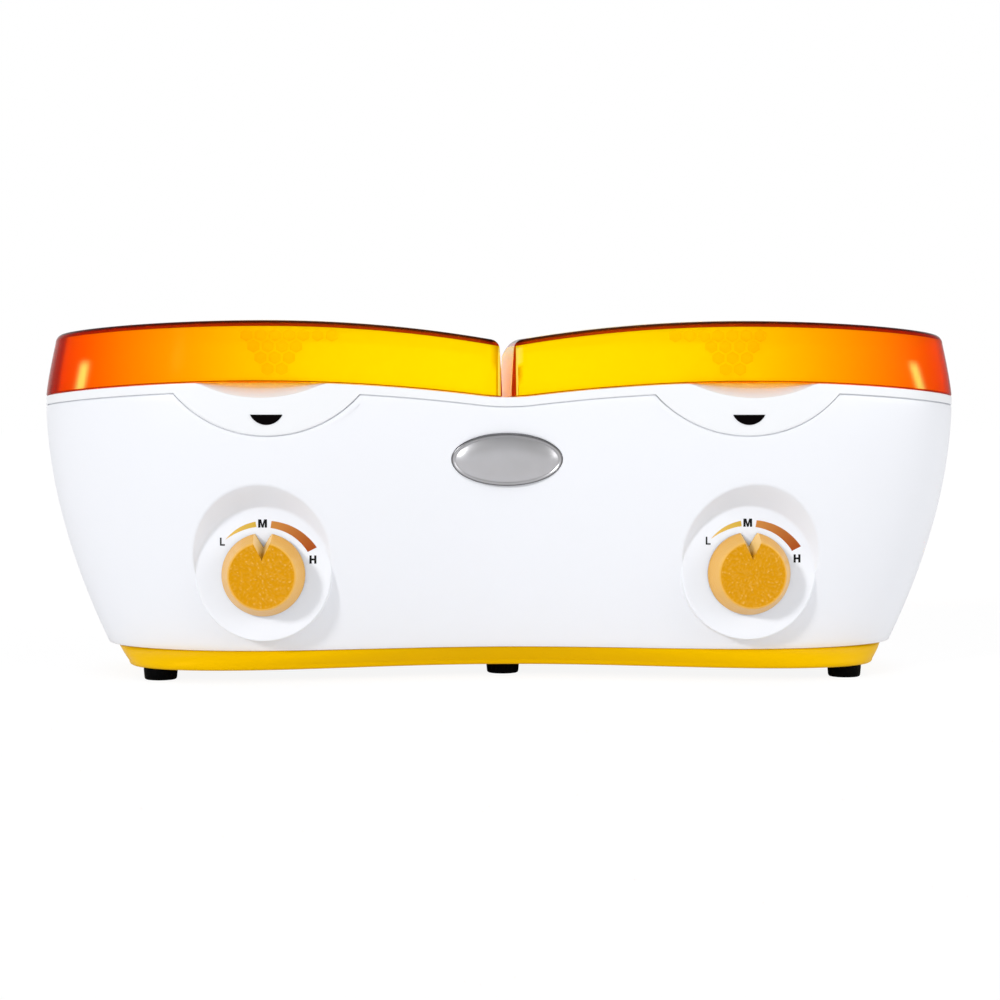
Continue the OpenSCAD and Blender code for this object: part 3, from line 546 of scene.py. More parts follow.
def bounced(made, code):
    """Gives the light that a material throws on its surroundings another colour."""
    path = node(made.node_tree, "LightPath")
    return over_colour(made, path.outputs["Is Diffuse Ray"], code)


HOUSING_WHITE = plastic("housing_white", "#F3F5FA", drift=0.03, gloss=(0.28, 0.34))
DECK_WHITE = plastic("deck_white", "#F3F5F8", drift=0.03, gloss=(0.26, 0.32))
TRAY_YELLOW = plastic("tray_yellow", "#EEBA00", drift=0.08, gloss=(0.34, 0.42),
                      gleam=("#FFC820", 0.2))
KNOB_AMBER = plastic("knob_amber", "#DA9606", drift=0.10, grain=900, gloss=(0.26, 0.36),
                     bump=(0.7, 0.25), gleam=("#FFD060", 0.4))
# The pale colour mixed in by the tint gives the bevel's painted sheen, the painted glints, the
# paler grain and the paler notch walls.
bounced(marked(KNOB_AMBER, "#FFD27C"), "#DCD4CC")
FOOT_BLACK = plastic("foot_black", "#040404", drift=0.2, grain=900, gloss=(0.5, 0.6),
                     bump=(0.5, 0.15), gleam=("#FFFFFF", 0.03))
LENS_DARK = plastic("lens_dark", "#060304", drift=0.2, gloss=(0.12, 0.2),
                    gleam=("#FFFFFF", 0.03))
# The dark colour mixed in by the tint is the badge's painted shade.
BADGE_SILVER = marked(metal("badge_silver", "#DCDCE0", lines=(200, 3000, 3000),
                            gloss=(0.26, 0.36)), "#2C2C2E")
POT_ALUMINIUM = metal("pot_aluminium", "#E6E7E9", lines=(200, 200, 5000), gloss=(0.25, 0.4))
BRIGHT_STEEL = metal("bright_steel", "#C9CACC", lines=(4000, 300, 300), gloss=(0.2, 0.34))
PRINT_BLACK = plastic("print_black", "#050506", drift=0.1, gloss=(0.4, 0.5),
                      gleam=("#FFFFFF", 0.2))


def make_lid_amber():
    """See-through amber: red at the outer ends, yellow at the split, with painted dark edges and
    painted highlights.
    """
    made, tree, shader = material("lid_amber")
    place = node(tree, "TexCoord").outputs["Object"]
    x = node(tree, "SeparateXYZ", {0: place}).outputs["X"]
    across = maths(tree, maths(tree, x, -1.0), maths(tree, x, LID_RIGHT_SHARE), "MAXIMUM")
    span, tint = node(tree, "MapRange", {0: across, 2: HALF_W * MM}), tint_of(tree)
    # Painted highlights where the tint is below zero, painted dark edges where it is above zero.
    pale = node(tree, "MapRange", {0: tint, 2: -1.0})
    lit = mix(tree, pale.outputs[0], ramp(tree, span.outputs[0], LID_STOPS), ink(LID_PAINTED_HIGHLIGHT))
    dark = node(tree, "MapRange", {0: tint, 2: 0.5})
    look = node(tree, "Group", {"Gloss low": 0.12, "Gloss high": 0.2}, node_tree=MOULDED_SKIN)
    feed(shader, {
        "Base Color": mix(tree, dark.outputs[0], lit, ramp(tree, tint, LID_PAINTED_DARK_EDGE_STOPS)),
        "Roughness": look.outputs["Roughness"], "Transmission Weight": LID_CLEARNESS,
        "IOR": LID_IOR, **shine(LID_SHINE, 0.2)})
    clear = node(tree, "BsdfTransparent", {0: ink(LID_SHADOW)})
    path = node(tree, "LightPath")
    show_mixed(tree, path.outputs["Is Shadow Ray"], shader, clear)
    return made


def make_band_ink(name, low, high):
    """Print that changes colour along a dial's band."""
    made, tree, shader = material(name)
    look = node(tree, "Group", node_tree=MOULDED_SKIN)
    feed(shader, {"Base Color": ramp(tree, tint_of(tree), ((0.0, low), (1.0, high))),
                  "Roughness": look.outputs["Roughness"], **shine("#FFFFFF", 0.2)})
    return made


LID_AMBER = make_lid_amber()
BAND_INKS = {
    "low": make_band_ink("band_low_print", "#EBC060", "#D8B040"),
    "high": make_band_ink("band_high_print", "#CE8840", "#A84A10"),
}

INNER_FINISHES = {
    "pot_seal": plastic("seal_silicone_grey", "#D9D4CC", gloss=(0.5, 0.6)),
    "heater_band": plastic("band_mica_tan", "#C9B48C", drift=0.4, grain=500, gloss=(0.45, 0.6)),
    "insulation_wrap": plastic("wrap_fibre_cream", "#EDE6D2", drift=0.3, grain=700,
                               gloss=(0.8, 0.9), bump=(0.8, 0.5)),
    "thermal_fuse": plastic("fuse_ceramic_buff", "#D8C9A0", gloss=(0.4, 0.5)),
    "thermostat": plastic("stat_phenolic_brown", "#4A2A1A", drift=0.3, gloss=(0.4, 0.5)),
    "neon_lamp": plastic("lamp_glass_orange", "#F08038", gloss=(0.05, 0.1)),
    "cord_gland": plastic("gland_rubber_black", "#1A1A1A", drift=0.3, gloss=(0.5, 0.65)),
    "terminal_block": plastic("block_nylon_ivory", "#E8E0C8", gloss=(0.4, 0.5)),
}
for stem in ("pot_standoff", "bush_nut", "knob_shaft", "hinge_pin", "base_screws", "deck_screws"):
    INNER_FINISHES[stem] = BRIGHT_STEEL
for name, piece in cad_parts.items():
    for stem, finish in INNER_FINISHES.items():
        if name.startswith(stem):
            piece.data.materials.clear()
            piece.data.materials.append(finish)


# Housing

EDGE = 0.35
WALL_SPACING = 2.4


def edged_levels(low, high, count):
    """Heights and insets of rows up a wall with a small round at both edges."""
    rows = [(low, EDGE), (low + EDGE * 0.3, EDGE * 0.3)]
    rows += [(low + EDGE + (high - low - 2 * EDGE) * s, 0.0) for s in np.linspace(0, 1, count)]
    return rows + [(high - EDGE * 0.3, EDGE * 0.3), (high, EDGE)]


def wall_top(t, r, lift):
    """Height at which a wall ends under the seam, or under the tongue's arc at the front."""
    z = np.full(len(t), SEAM_Z)
    for _ in range(6):
        x, _y = outline(t, flare(z))
        arc = np.where(np.sin(t) < 0, tongue_arc(x, r), FAR_UP)
        z = np.minimum(seam(x) + lift, arc)
    return z


def window_of(xs, zs, t, x, half, z0, z1):
    """Ranges of rows and columns of the front wall that hold a feature."""
    middle_row = int(np.argmin(np.abs(zs.mean(axis=1) - (z0 + z1) / 2)))
    columns = np.where((t > np.pi) & (np.abs(xs[middle_row] - x) < half))[0]
    middle = columns[len(columns) // 2]
    j0 = int(np.argmin(np.abs(zs[:, middle] - z0)))
    j1 = int(np.argmin(np.abs(zs[:, middle] - z1)))
    return int(columns[0]), int(columns[-1]), j0, j1


def window_loop(grid, i0, i1, j0, j1):
    return np.concatenate([grid[j0, i0:i1 + 1], grid[j0 + 1:j1 + 1, i1],
                           grid[j1, i0:i1][::-1], grid[j0 + 1:j1, i0][::-1]])


# Radii of the rings on a pod's floor, and how far out its rim is looked for
POD_FLOOR_RS = (4.9, 10, 16, 22, 26)
POD_REACH = 14


def fill_pod(skin, loop, side):
    """Dial pod: a flat floor, the cone up to the wall and the lip that stands proud below."""
    edge = skin.all_points()[loop]
    cx = side * POD_X
    dx, dz = edge[:, 0] - cx, edge[:, 2] - POD_Z
    reach = np.hypot(dx, dz)
    ux, uz, one = dx / reach, dz / reach, np.ones(len(reach))

    def hull(r):
        return front_wall(cx + ux * r, POD_Z + uz * r)

    def over(r):
        return POD_FLOOR_Y - (r - POD_R) / POD_SLOPE - hull(r)

    low, high = POD_R * one, (POD_R + POD_REACH) * one
    recessed = over(low) > 0
    for _ in range(40):
        mid = (low + high) / 2
        inside = over(mid) > 0
        low, high = np.where(inside, mid, low), np.where(inside, high, mid)
    rim_r = np.maximum(np.where(recessed, low, POD_R), POD_R + 0.03)
    floor_edge = np.array([POD_R * one, POD_FLOOR_Y * one])
    rim = np.array([rim_r, hull(rim_r)])
    length = np.maximum(np.hypot(*(rim - floor_edge)), 1e-6)
    soft = np.minimum(1.0, 0.45 * length)
    along = (rim - floor_edge) * soft / length
    inner = floor_edge - np.array([soft, np.zeros_like(soft)])
    outer = np.array([rim_r + soft, hull(rim_r + soft)])
    profile = [(r, POD_FLOOR_Y) for r in POD_FLOOR_RS]
    steps = np.linspace(0, 1, 6)
    profile += bend(inner, floor_edge, floor_edge + along, steps)
    profile += bend(rim - along, rim, outer, steps)
    for u in (0.1, 0.24, 0.45, 0.7):
        r = outer[0] + (reach - outer[0]) * u
        profile.append((r, hull(r)))
    ring = loop
    for r, y in reversed(profile):
        ring = skin.onward(ring, cx + ux * r, y, POD_Z + uz * r)


def badge_point(across, up, out):
    """A point of the badge's leaning frame."""
    lean_s, lean_c = math.sin(BADGE_LEAN), math.cos(BADGE_LEAN)
    return across, BADGE_Y - up * lean_s - out * lean_c, BADGE_Z + up * lean_c - out * lean_s


# Space round the badge in its seat, and how far out the seat's rounded edge begins
SEAT_GAP = 0.15
SEAT_OUT = 0.7


def fill_badge_seat(skin, loop):
    """Oval pocket for the badge."""
    edge = skin.all_points()[loop]
    turn = np.arctan2((edge[:, 2] - BADGE_Z) / BADGE_H, edge[:, 0] / BADGE_W)
    lean_c = math.cos(BADGE_LEAN)

    def on_wall(grow, u=0.0):
        x = (BADGE_W / 2 + grow) * np.cos(turn)
        z = BADGE_Z + (BADGE_H / 2 + grow) * np.sin(turn) * lean_c
        x, z = x + (edge[:, 0] - x) * u, z + (edge[:, 2] - z) * u
        return x, front_wall(x, z), z

    ring = loop
    for u in (0.7, 0.42, 0.2, 0.08, 0.0):
        ring = skin.onward(ring, *on_wall(SEAT_OUT, u))
    x, y, z = on_wall(SEAT_GAP)
    across, up = (BADGE_W / 2 + SEAT_GAP) * np.cos(turn), (BADGE_H / 2 + SEAT_GAP) * np.sin(turn)
    for row in ((x, y + 0.12, z), (x, y + 0.5, z), badge_point(across, up, 0)):
        ring = skin.onward(ring, *row)
    skin.fan(ring, *badge_point(0.0, 0.0, 0.0))


# Lip that stands up behind the seam line
LIP_IN = 0.75
LIP_H = 0.6
# Half width, lowest and highest z of the patches of wall that hold a pod and the badge
POD_WINDOW = (42, 16.2, 92)
BADGE_WINDOW = (33, 78, 113.5)


def make_housing():
    t = outline_steps(tongue_ends(TONGUE_R + SEAM_GAP, -SEAM_GAP), WALL_SPACING)
    top = wall_top(t, TONGUE_R + SEAM_GAP, -SEAM_GAP)
    skin = Skin()
    grid, xs, zs = [], [], []
    levels = edged_levels(np.full(len(t), BASE_TOP), top, 46)
    for z, inset in levels + [(top, LIP_IN), (top + LIP_H, LIP_IN + 0.05)]:
        x, y = outline(t, flare(z) + inset)
        grid.append(skin.row(x, y, z))
        xs.append(x)
        zs.append(z)
    grid, xs, zs = np.array(grid), np.array(xs), np.array(zs)
    windows = [window_of(xs, zs, t, x, *size) for x, size in
               ((-POD_X, POD_WINDOW), (POD_X, POD_WINDOW), (0, BADGE_WINDOW))]
    for j in range(len(grid) - 1):
        keep = np.ones(len(t), bool)
        for i0, i1, j0, j1 in windows:
            if j0 <= j < j1:
                keep[i0:i1] = False
        skin.strip(grid[j], grid[j + 1], keep=keep)
    left_pod, right_pod, badge = (window_loop(grid, *window) for window in windows)
    fill_pod(skin, left_pod, -1)
    fill_pod(skin, right_pod, 1)
    fill_badge_seat(skin, badge)
    thicken(moulding("housing_shell", skin, HOUSING_WHITE, ["housing"],
                     closed=False))


# Deck

# Shares of the way from a pot's land out to the rim, and how deep the wall of the pot's hole is
DECK_SHARES = (0.97, 0.94, 0.91, 0.88, 0.85, 0.81, 0.77, 0.73, 0.68, 0.6, 0.5, 0.38, 0.25, 0.12,
               0.03)
POT_HOLE_T = 3.5


def make_deck():
    t = outline_steps(tongue_ends(TONGUE_R, 0), WALL_SPACING)
    low, high = wall_top(t, TONGUE_R, 0), deck_top(*outline(t, 0))
    skin = Skin()
    rows = [skin.row(*outline(t, flare(z) + inset), z)
            for z, inset in edged_levels(low, high, 12)]
    skin.strips(rows)
    points = skin.all_points()[rows[-1]]
    for side in (-1, 1):
        from_front = (t + np.pi / 2 if side > 0 else 1.5 * np.pi - t) % (2 * np.pi)
        from_front[from_front > 2 * np.pi - 1e-6] = 0
        half = np.where(from_front < np.pi + 1e-6)[0]
        arc = points[half[np.argsort(from_front[half])]]
        middle = np.linspace(arc[-1], arc[0], 50)[1:-1]
        middle[:, 0] = 0
        middle[:, 2] = deck_top(0, middle[:, 1])
        x, y, z = np.concatenate([arc, middle]).T
        cx = side * WELL_X
        reach = np.hypot(x - cx, y)
        ux, uy = (x - cx) / reach, y / reach
        rings = [skin.row(x, y, z)]
        for u in DECK_SHARES:
            r = LAND_R + (reach - LAND_R) * u
            px, py = cx + ux * r, uy * r
            rings.append(skin.row(px, py, deck_top(px, py)))
        lip_x, lip_y = cx + ux * LAND_R, uy * LAND_R
        lip_z = deck_top(lip_x, lip_y)
        for r, z in ((LAND_R + 0.3, lip_z), (LAND_R + 0.08, lip_z - 0.08), (LAND_R, lip_z - 0.3),
                     (LAND_R, LAND_Z + 0.3), (LAND_R - 0.3, LAND_Z), (POT_HOLE_R + 0.4, LAND_Z),
                     (POT_HOLE_R, LAND_Z - 0.4), (POT_HOLE_R, LAND_Z - POT_HOLE_T)):
            rings.append(skin.row(cx + ux * r, uy * r, z))
        skin.strips([ring[::side] for ring in rings])
    thicken(moulding("top_deck_shell", skin, DECK_WHITE, ["top_deck"],
                     closed=False))


# Base tray and feet

TRAY_SPACING = 2.6
TRAY_ROUND = 1.8
TRAY_EDGE = 0.25
VENT_PITCH = 9.0
VENT_L = 40.0
VENT_W = 3.0
SCREW_WELL_R = 3.3
BASE_POSTS = ((158.2, 0), (60, -44.19), (60, 37.64))
# How far a cutter stands out under and over the tray's floor
CUT_PAST = 2
FOOT_SPOTS = {
    "foot_front_left": (-150.5, -47), "foot_front_middle": (0, -26),
    "foot_front_right": (150.5, -47), "foot_rear_left": (-150.5, 32),
    "foot_rear_middle": (0, 26), "foot_rear_right": (150.5, 32),
}
FOOT_TOP = FOOT_H - 0.02


def prism(points, z0, z1):
    skin = Skin()
    x, y = np.array(points, float).T
    skin.solid([skin.row(x, y, z0), skin.row(x, y, z1)])
    return skin


def cutter(cx, cy, r, half=0.0, steps=40):
    """An upright cutter through the tray's floor: round, or a slot when half is given."""
    points = [(cx + r * math.cos(a), cy + math.copysign(half, math.sin(a + 1e-6)) + r * math.sin(a))
              for a in full_turn(steps)]
    return prism(points, -CUT_PAST, FOOT_H + TRAY_FLOOR_T + CUT_PAST)


def make_tray():
    t = outline_steps([], TRAY_SPACING)

    def ring(z, fall, inset):
        x, y = outline(t, FLARE_IN + TRAY_END_STEP + fall * TRAY_END_TAPER + inset,
                       FLARE_IN + TRAY_STEP + fall * TRAY_TAPER + inset,
                       TRAY_POWER + fall * (TRAY_LOW_POWER - TRAY_POWER))
        return skin.row(x, y, z)

    skin = Skin()
    under = rounded([(6, FOOT_H), (0, FOOT_H), (0, FOOT_H + 4)], {1: TRAY_ROUND})
    rows = [ring(z, 1, inset) for inset, z in under[:-1]]
    rows += [ring(FOOT_H + TRAY_ROUND + (BASE_TOP - FOOT_H - TRAY_ROUND - 0.2) * s, 1 - s, 0)
             for s in np.linspace(0.1, 1, 6)]
    rows += [ring(BASE_TOP, 0, TRAY_EDGE), ring(BASE_TOP, 0, WALL)]
    rows.append(ring(FOOT_H + TRAY_FLOOR_T, 1, WALL))
    skin.solid(rows)
    piece = moulding("base_tray_shell", skin, TRAY_YELLOW, ["base_tray"])
    cutters = Skin()
    for side in (-1, 1):
        for i in (-3, -2, 2, 3):
            cutters.join(cutter(side * WELL_X + i * VENT_PITCH, 0, VENT_W / 2,
                                VENT_L / 2 - VENT_W / 2, 24))
        cutters.join(cutter(side * WELL_X, 0, SCREW_WELL_R))
        for x, y in BASE_POSTS:
            cutters.join(cutter(side * x, y, SCREW_WELL_R))
    cut_out(piece, cutters)


def cut_out(piece, cutters):
    tool = moulding("cutter", cutters, TRAY_YELLOW)
    cut = piece.modifiers.new("cut", "BOOLEAN")
    cut.object = tool
    cut.solver = "EXACT"
    bpy.context.view_layer.update()
    seen = bpy.context.evaluated_depsgraph_get()
    piece.data = bpy.data.meshes.new_from_object(piece.evaluated_get(seen))
    piece.modifiers.clear()
    bpy.data.objects.remove(tool)
    smooth(piece, 35)


def make_feet():
    profile = [(0, 0.35), (4.6, 0.35), (4.9, 0.05)]
    profile += rounded([(5.1, 0), (7.0, 0), (7.4, 4.6), (7.3, FOOT_TOP)], {1: 1.1})
    profile.append((0, FOOT_TOP))
    for name, (x, y) in FOOT_SPOTS.items():
        skin = lathe(profile, lambda a, b, h: (x + a, y + b, h), 56)
        moulding(name + "_pad", skin, FOOT_BLACK, [name])


# Lids

def roof(x, y):
    x = np.abs(x)
    across = arch_drop(np.abs(x - WELL_X), np.where(x > WELL_X, LID_R_OUT, LID_R_IN))
    return CREST_Z - across - arch_drop(np.abs(y), LID_CROWN_R)


LID_SPACING = 1.6
CORNER_STEPS = 16
SPLIT_STEPS = 42


def lid_lean(out_x, share):
    """How far a lid's wall leans in, by the way it faces."""
    side_lean = np.where(out_x > 0, LID_LEAN_END, LID_LEAN_SPLIT)
    return LID_LEAN + (side_lean - LID_LEAN) * np.abs(share)


def lid_plan():
    """Points round the right lid, their outward directions, and which are on a corner."""
    fine = np.linspace(0, np.pi / 2, 8001)
    x, _y = outline(fine, 0)
    corner_x = LID_SPLIT / 2 + LID_EDGE_R
    end = float(np.interp(-corner_x, -x, fine))
    fine = np.linspace(-end, end, 8001)
    x, y = outline(fine, 0)
    run = run_along(x, y)
    count = round(run[-1] / LID_SPACING) + 1
    steps = np.interp(np.linspace(0, run[-1], count), run, fine)
    x, y = outline(steps, 0)
    turn = np.linspace(0, np.pi / 2, CORNER_STEPS + 1)
    rear_y, front_y = y[-1] - LID_EDGE_R, y[0] + LID_EDGE_R
    split_y = np.linspace(rear_y, front_y, SPLIT_STEPS)[1:-1]
    px = np.concatenate([x, corner_x - LID_EDGE_R * np.sin(turn[1:]),
                         np.full(len(split_y), LID_SPLIT / 2),
                         corner_x - LID_EDGE_R * np.cos(turn[:-1])])
    py = np.concatenate([y, rear_y + LID_EDGE_R * np.cos(turn[1:]), split_y,
                         front_y - LID_EDGE_R * np.sin(turn[:-1])])
    corner = np.ones(len(px), bool)
    corner[1:len(x) - 1] = corner[-CORNER_STEPS - len(split_y):-CORNER_STEPS] = False
    dx, dy = np.roll(px, -1) - np.roll(px, 1), np.roll(py, -1) - np.roll(py, 1)
    length = np.hypot(dx, dy)
    return px, py, dy / length, -dx / length, corner


# Share of the way round the lid's upper edge, and how dark it is painted there: painted dark for
# the long path of light through the edge seen edge-on
EDGE_PAINTED_DARK = ((0.1, 0.0), (0.19, 0.0), (0.23, 0.5), (0.38, 0.58), (0.46, 0.64), (0.52, 0.9),
             (0.65, 1.0), (0.8, 1.0), (1.0, 0.95))
# Painted dark at the lid's lower rim and along the edge of its roof, for the same long path of
# light
RIM_PAINTED_DARK = 0.45
ROOF_EDGE_PAINTED_DARK = 0.55
# Rows of a lid's roof from its edge to its middle, and of its walls from the rim up
ROOF_SHARES = (0.985, 0.96, 0.92, 0.86, 0.78, 0.7, 0.6, 0.5, 0.4, 0.3, 0.2, 0.1)
WALL_SHARES = (0.07, 0.14, 0.2, 0.27, 0.33, 0.4, 0.46, 0.52, 0.58, 0.64, 0.7, 0.8, 0.88, 0.94,
               0.98)
# Distance from the split and tint of the upright edge there: a painted dark red for the wall seen
# edge-on, a painted highlight strip, a thin line
SPLIT_STOPS = {
    -1: ((0, 0.54), (0.7, 0.5), (0.85, -0.75), (1.6, -0.75), (1.8, 0.25), (2.6, 0.25), (2.9, 0)),
    1: ((0, 0.54), (1.85, 0.5), (2, -0.75), (2.6, -0.75), (2.75, 0.3), (3, 0.3), (3.2, 0)),
}
# Painted paleness of the wall along the split behind that edge, standing in for the bright backdrop
# seen through it, and how far in it is full
SPLIT_WALL_PAINTED_PALE = -0.6
SPLIT_WALL_IN = 6
# How far from the split its painted dark, highlight and paleness reach
SPLIT_REACH = 4
# Distance from the warmer's middle and painted dark towards the outer end, for the long path of
# light through the plastic seen edge-on there
END_PAINTED_DARK_STOPS = {
    -1: ((192.4, 0.0), (193.6, 0.15), (194.6, 0.4), (196.0, 0.5), (205.0, 0.54)),
    1: ((193.5, 0.0), (195.6, 0.15), (197.3, 0.25), (199.0, 0.35), (202.0, 0.5), (205.0, 0.54)),
}
# Painted pale spot where light gathers near each end: its place, slant, half width, height and fade
GLOW_X = {-1: 181.6, 1: 178.2}
GLOW_SLANT = {-1: 0.2, 1: 0.33}
GLOW_LOW_Z = 132.0
GLOW_TOP_Z = 139.5
GLOW_FADE = 3.5
GLOW_HALF = 2.1
GLOW_PEAK = 1.3


def glow(x, y, z, side):
    off = x - GLOW_X[side] + GLOW_SLANT[side] * (z - GLOW_LOW_Z)
    spot = np.clip(GLOW_PEAK * np.exp(-(off / GLOW_HALF) ** 2), 0, 1)
    return spot * np.clip((GLOW_TOP_Z - z) / GLOW_FADE, 0, 1) * (y < 0)


def wall_tint(x, y, z, side):
    """Tint of the outer wall: a painted pale spot where light gathers near the end, and by the
    split a painted dark edge, a painted highlight and a painted pale wall.
    """
    split = read_stops(SPLIT_STOPS[side], x - LID_SPLIT / 2)
    front = waist(0.0) - PLAN_FRONT + LID_EDGE_R
    rear = PLAN_REAR - waist(0.0) - LID_EDGE_R
    inward = np.clip(np.minimum(y - front, rear - y) / SPLIT_WALL_IN, 0, 1)
    # Painted paleness on the wall further in from the edge.
    split = split + (SPLIT_WALL_PAINTED_PALE - split) * inward
    return np.where(x < LID_SPLIT / 2 + SPLIT_REACH, split, -glow(x, y, z, side))


# A lid's barrel turns on the pin, and a web from it meets the lid's rear wall
BORE_R = PIN_R + 0.06
BARREL_EDGE = 0.4
WEB_Y = (-4.6, -1.7)
WEB_Z = (-1.0, 2.0)


def make_lid(name, body, side):
    px, py, nx, ny, corner = lid_plan()
    lean = lid_lean(nx, nx)
    rim_z = seam(px) + DECK_H + LID_SEAT_GAP
    front_end = py[0]
    rear_end = py[corner].max()

    def spot(share, inset):
        """The outline drawn in by a share of the lean and by an inset, corners kept round."""
        x, y = px - nx * (share * lean + inset), py - ny * (share * lean + inset)
        across, along = share * LID_LEAN_SPLIT + inset, share * LID_LEAN + inset
        r = max(LID_EDGE_R - (across + along) / 2, 0.3)
        end = np.where(py < 0, -front_end, rear_end)
        cx = LID_SPLIT / 2 + across + r * (1 + nx)
        cy = np.sign(py) * (end - along - r) + r * ny
        return np.where(corner, cx, x), np.where(corner, cy, y)

    def edge_row(t, share):
        r = max(LID_EDGE_R - t, 1)
        x, y = spot(1, t + r * (1 - math.cos(share * math.pi / 2)))
        return x, y, roof(x, y) - t - r * (1 - math.sin(share * math.pi / 2))

    def wall_row(t, share):
        low, high = np.array([*spot(0, t), rim_z]), np.array(edge_row(t, 0))
        drawn_in = share ** LID_BULGE
        return low + (high - low) * [[drawn_in], [drawn_in], [share]]

    def roof_row(t, share):
        x, y, _z = edge_row(t, 1)
        x, y = WELL_X + (x - WELL_X) * share, y * share
        return x, y, roof(x, y) - t

    skin = Skin()
    # Painted dark towards the outer end.
    end_painted_dark = read_stops(END_PAINTED_DARK_STOPS[side], px)

    def add(points, tint=0.0):
        x, y, z = points
        return skin.row(side * x, y, z, tint)

    def add_wall(share, tint=0.0):
        points = wall_row(0, share)
        # Painted dark at the outer end, elsewhere the painted glow and split tints.
        marks = np.where(end_painted_dark > 0, end_painted_dark, wall_tint(*points, side))
        return add(points, np.where(tint > 0, tint, marks))

    def add_inner(share):
        points = wall_row(LID_T, share)
        # The same painted pale spot on the inner wall.
        return add(points, -glow(*points, side))

    def add_edge(share, tint):
        points = edge_row(0, share)
        return add(points, np.maximum(np.maximum(tint, end_painted_dark), wall_tint(*points, side)))

    rows = [add(roof_row(LID_T, s)) for s in ROOF_SHARES[::-1]]
    rows += [add(edge_row(LID_T, s)) for s in (1.0, 0.75, 0.5, 0.25)]
    rows += [add_inner(s) for s in (1.0,) + WALL_SHARES[::-1]]
    # Painted dark along the lower rim, then along the upper edge and the roof's edge
    rows += [add((*spot(0, inset), rim_z), RIM_PAINTED_DARK) for inset in (LID_T - 0.3, 0.3)]
    rows += [add_wall(0.012, RIM_PAINTED_DARK), add_wall(0.024)]
    rows += [add_wall(s) for s in WALL_SHARES + (1.0,)]
    rows += [add_edge(s, tint) for s, tint in EDGE_PAINTED_DARK]
    rows += [add(roof_row(0, s), ROOF_EDGE_PAINTED_DARK if s == ROOF_SHARES[0] else 0.0)
             for s in ROOF_SHARES]
    skin.strips(rows)
    centre_z = float(roof(WELL_X, 0.0))
    skin.fan(rows[0], side * WELL_X, 0, centre_z - LID_T)
    skin.fan(rows[-1], side * WELL_X, 0, centre_z)
    moulding(name + "_cover", skin, LID_AMBER, [name], body)

    hinge_x, hinge_y, hinge_z = side * HINGE[0], HINGE[1], HINGE[2]
    end = BARREL_L / 2
    profile = [(BORE_R, -end), (BARREL_R - BARREL_EDGE, -end), (BARREL_R, -end + BARREL_EDGE),
               (BARREL_R, end - BARREL_EDGE), (BARREL_R - BARREL_EDGE, end), (BORE_R, end),
               (BORE_R, -end)]
    barrel = lathe(profile, lambda a, b, h: (hinge_x + h, hinge_y + a, hinge_z + b), 48)
    x0, x1 = hinge_x - end, hinge_x + end
    y0, y1 = (hinge_y + reach for reach in WEB_Y)
    low, high = (hinge_z + reach for reach in WEB_Z)
    barrel.join(prism([(x0, y0), (x1, y0), (x1, y1), (x0, y1)], low, high))
    moulding(name + "_barrel", barrel, LID_AMBER, body=body)


# Cells of the honeycomb in each row, counted in pitches from the middle of the cluster
HEX_ROWS = ((-4, -3, -2, -1, 0, 1, 2), (-1.5, -0.5, 0.5, 1.5), (-1, 0, 1), (-0.5, 0.5))
HEX_X = {-1: 97.7, 1: 94.4}
HEX_TOP_Z = 148.6
HEX_PITCH = 5.9
HEX_ROW_H = 4.75
HEX_R = 2.85
HEX_FLAT = 0.94
HEX_PROFILE = ((1.0, -0.3), (1.0, 0.08), (0.9, 0.22), (0.5, 0.25))
HEX_TINT = 0.07


def lid_front(x, z):
    """The outer face of a lid's front wall, with the start of its rounded edge."""
    face = -wall_reach(x, 0, PLAN_FRONT)
    slope = wall_reach(x - 0.5, 0, PLAN_FRONT) - wall_reach(x + 0.5, 0, PLAN_FRONT)
    span = np.hypot(1, slope)
    lean = lid_lean(slope, slope / span) * span
    rim_z = seam(x) + DECK_H + LID_SEAT_GAP
    top_z = roof(x, face + lean) - LID_EDGE_R
    share = np.clip((z - rim_z) / (top_z - rim_z), 0, 1)
    over = np.clip(z - top_z, 0, LID_EDGE_R)
    return face + lean * share ** LID_BULGE + arch_drop(over, LID_EDGE_R)


def make_honeycomb(name, body, side):
    """Six-sided pads in relief on a lid's front wall, fewer in each row down."""
    skin = Skin()
    turn = np.radians(30 + 60 * np.arange(6))
    for i, cells in enumerate(HEX_ROWS):
        z = HEX_TOP_Z - i * HEX_ROW_H
        for cell in cells:
            x = HEX_X[side] + cell * HEX_PITCH
            rows = []
            for grow, out in HEX_PROFILE:
                px = x + HEX_R * grow * np.cos(turn)
                pz = z + HEX_R * HEX_FLAT * grow * np.sin(turn)
                rows.append(skin.row(side * px, lid_front(px, pz) - out, pz, HEX_TINT))
            skin.solid(rows)
    moulding(name + "_honeycomb", skin, LID_AMBER, body=body)


# Dials

def dial_place(side):
    """Turns across, up and out on a dial into a point of the model."""
    return lambda across, up, out: (side * POD_X + across, POD_FLOOR_Y - out, POD_Z + up)


# Heights between which the notch's floor is looked for
NOTCH_HEIGHTS = (-4.0, 20.0)


def notch_height(across, up):
    """Height above the pod floor at which the pointer notch begins."""
    low, high = (np.full(across.shape, height) for height in NOTCH_HEIGHTS)
    for _ in range(30):
        mid = (low + high) / 2
        share = mid / KNOB_TOP
        root = NOTCH_BASE_R + (NOTCH_FACE_R - NOTCH_BASE_R) * share
        spread = (NOTCH_W / 2 / (KNOB_R - NOTCH_BASE_R) * (1 - share)
                  + NOTCH_W / 2 / (KNOB_FACE_R - NOTCH_FACE_R) * share)
        inside = np.abs(across) < spread * (up - root)
        low, high = np.where(inside, low, mid), np.where(inside, mid, high)
    return high


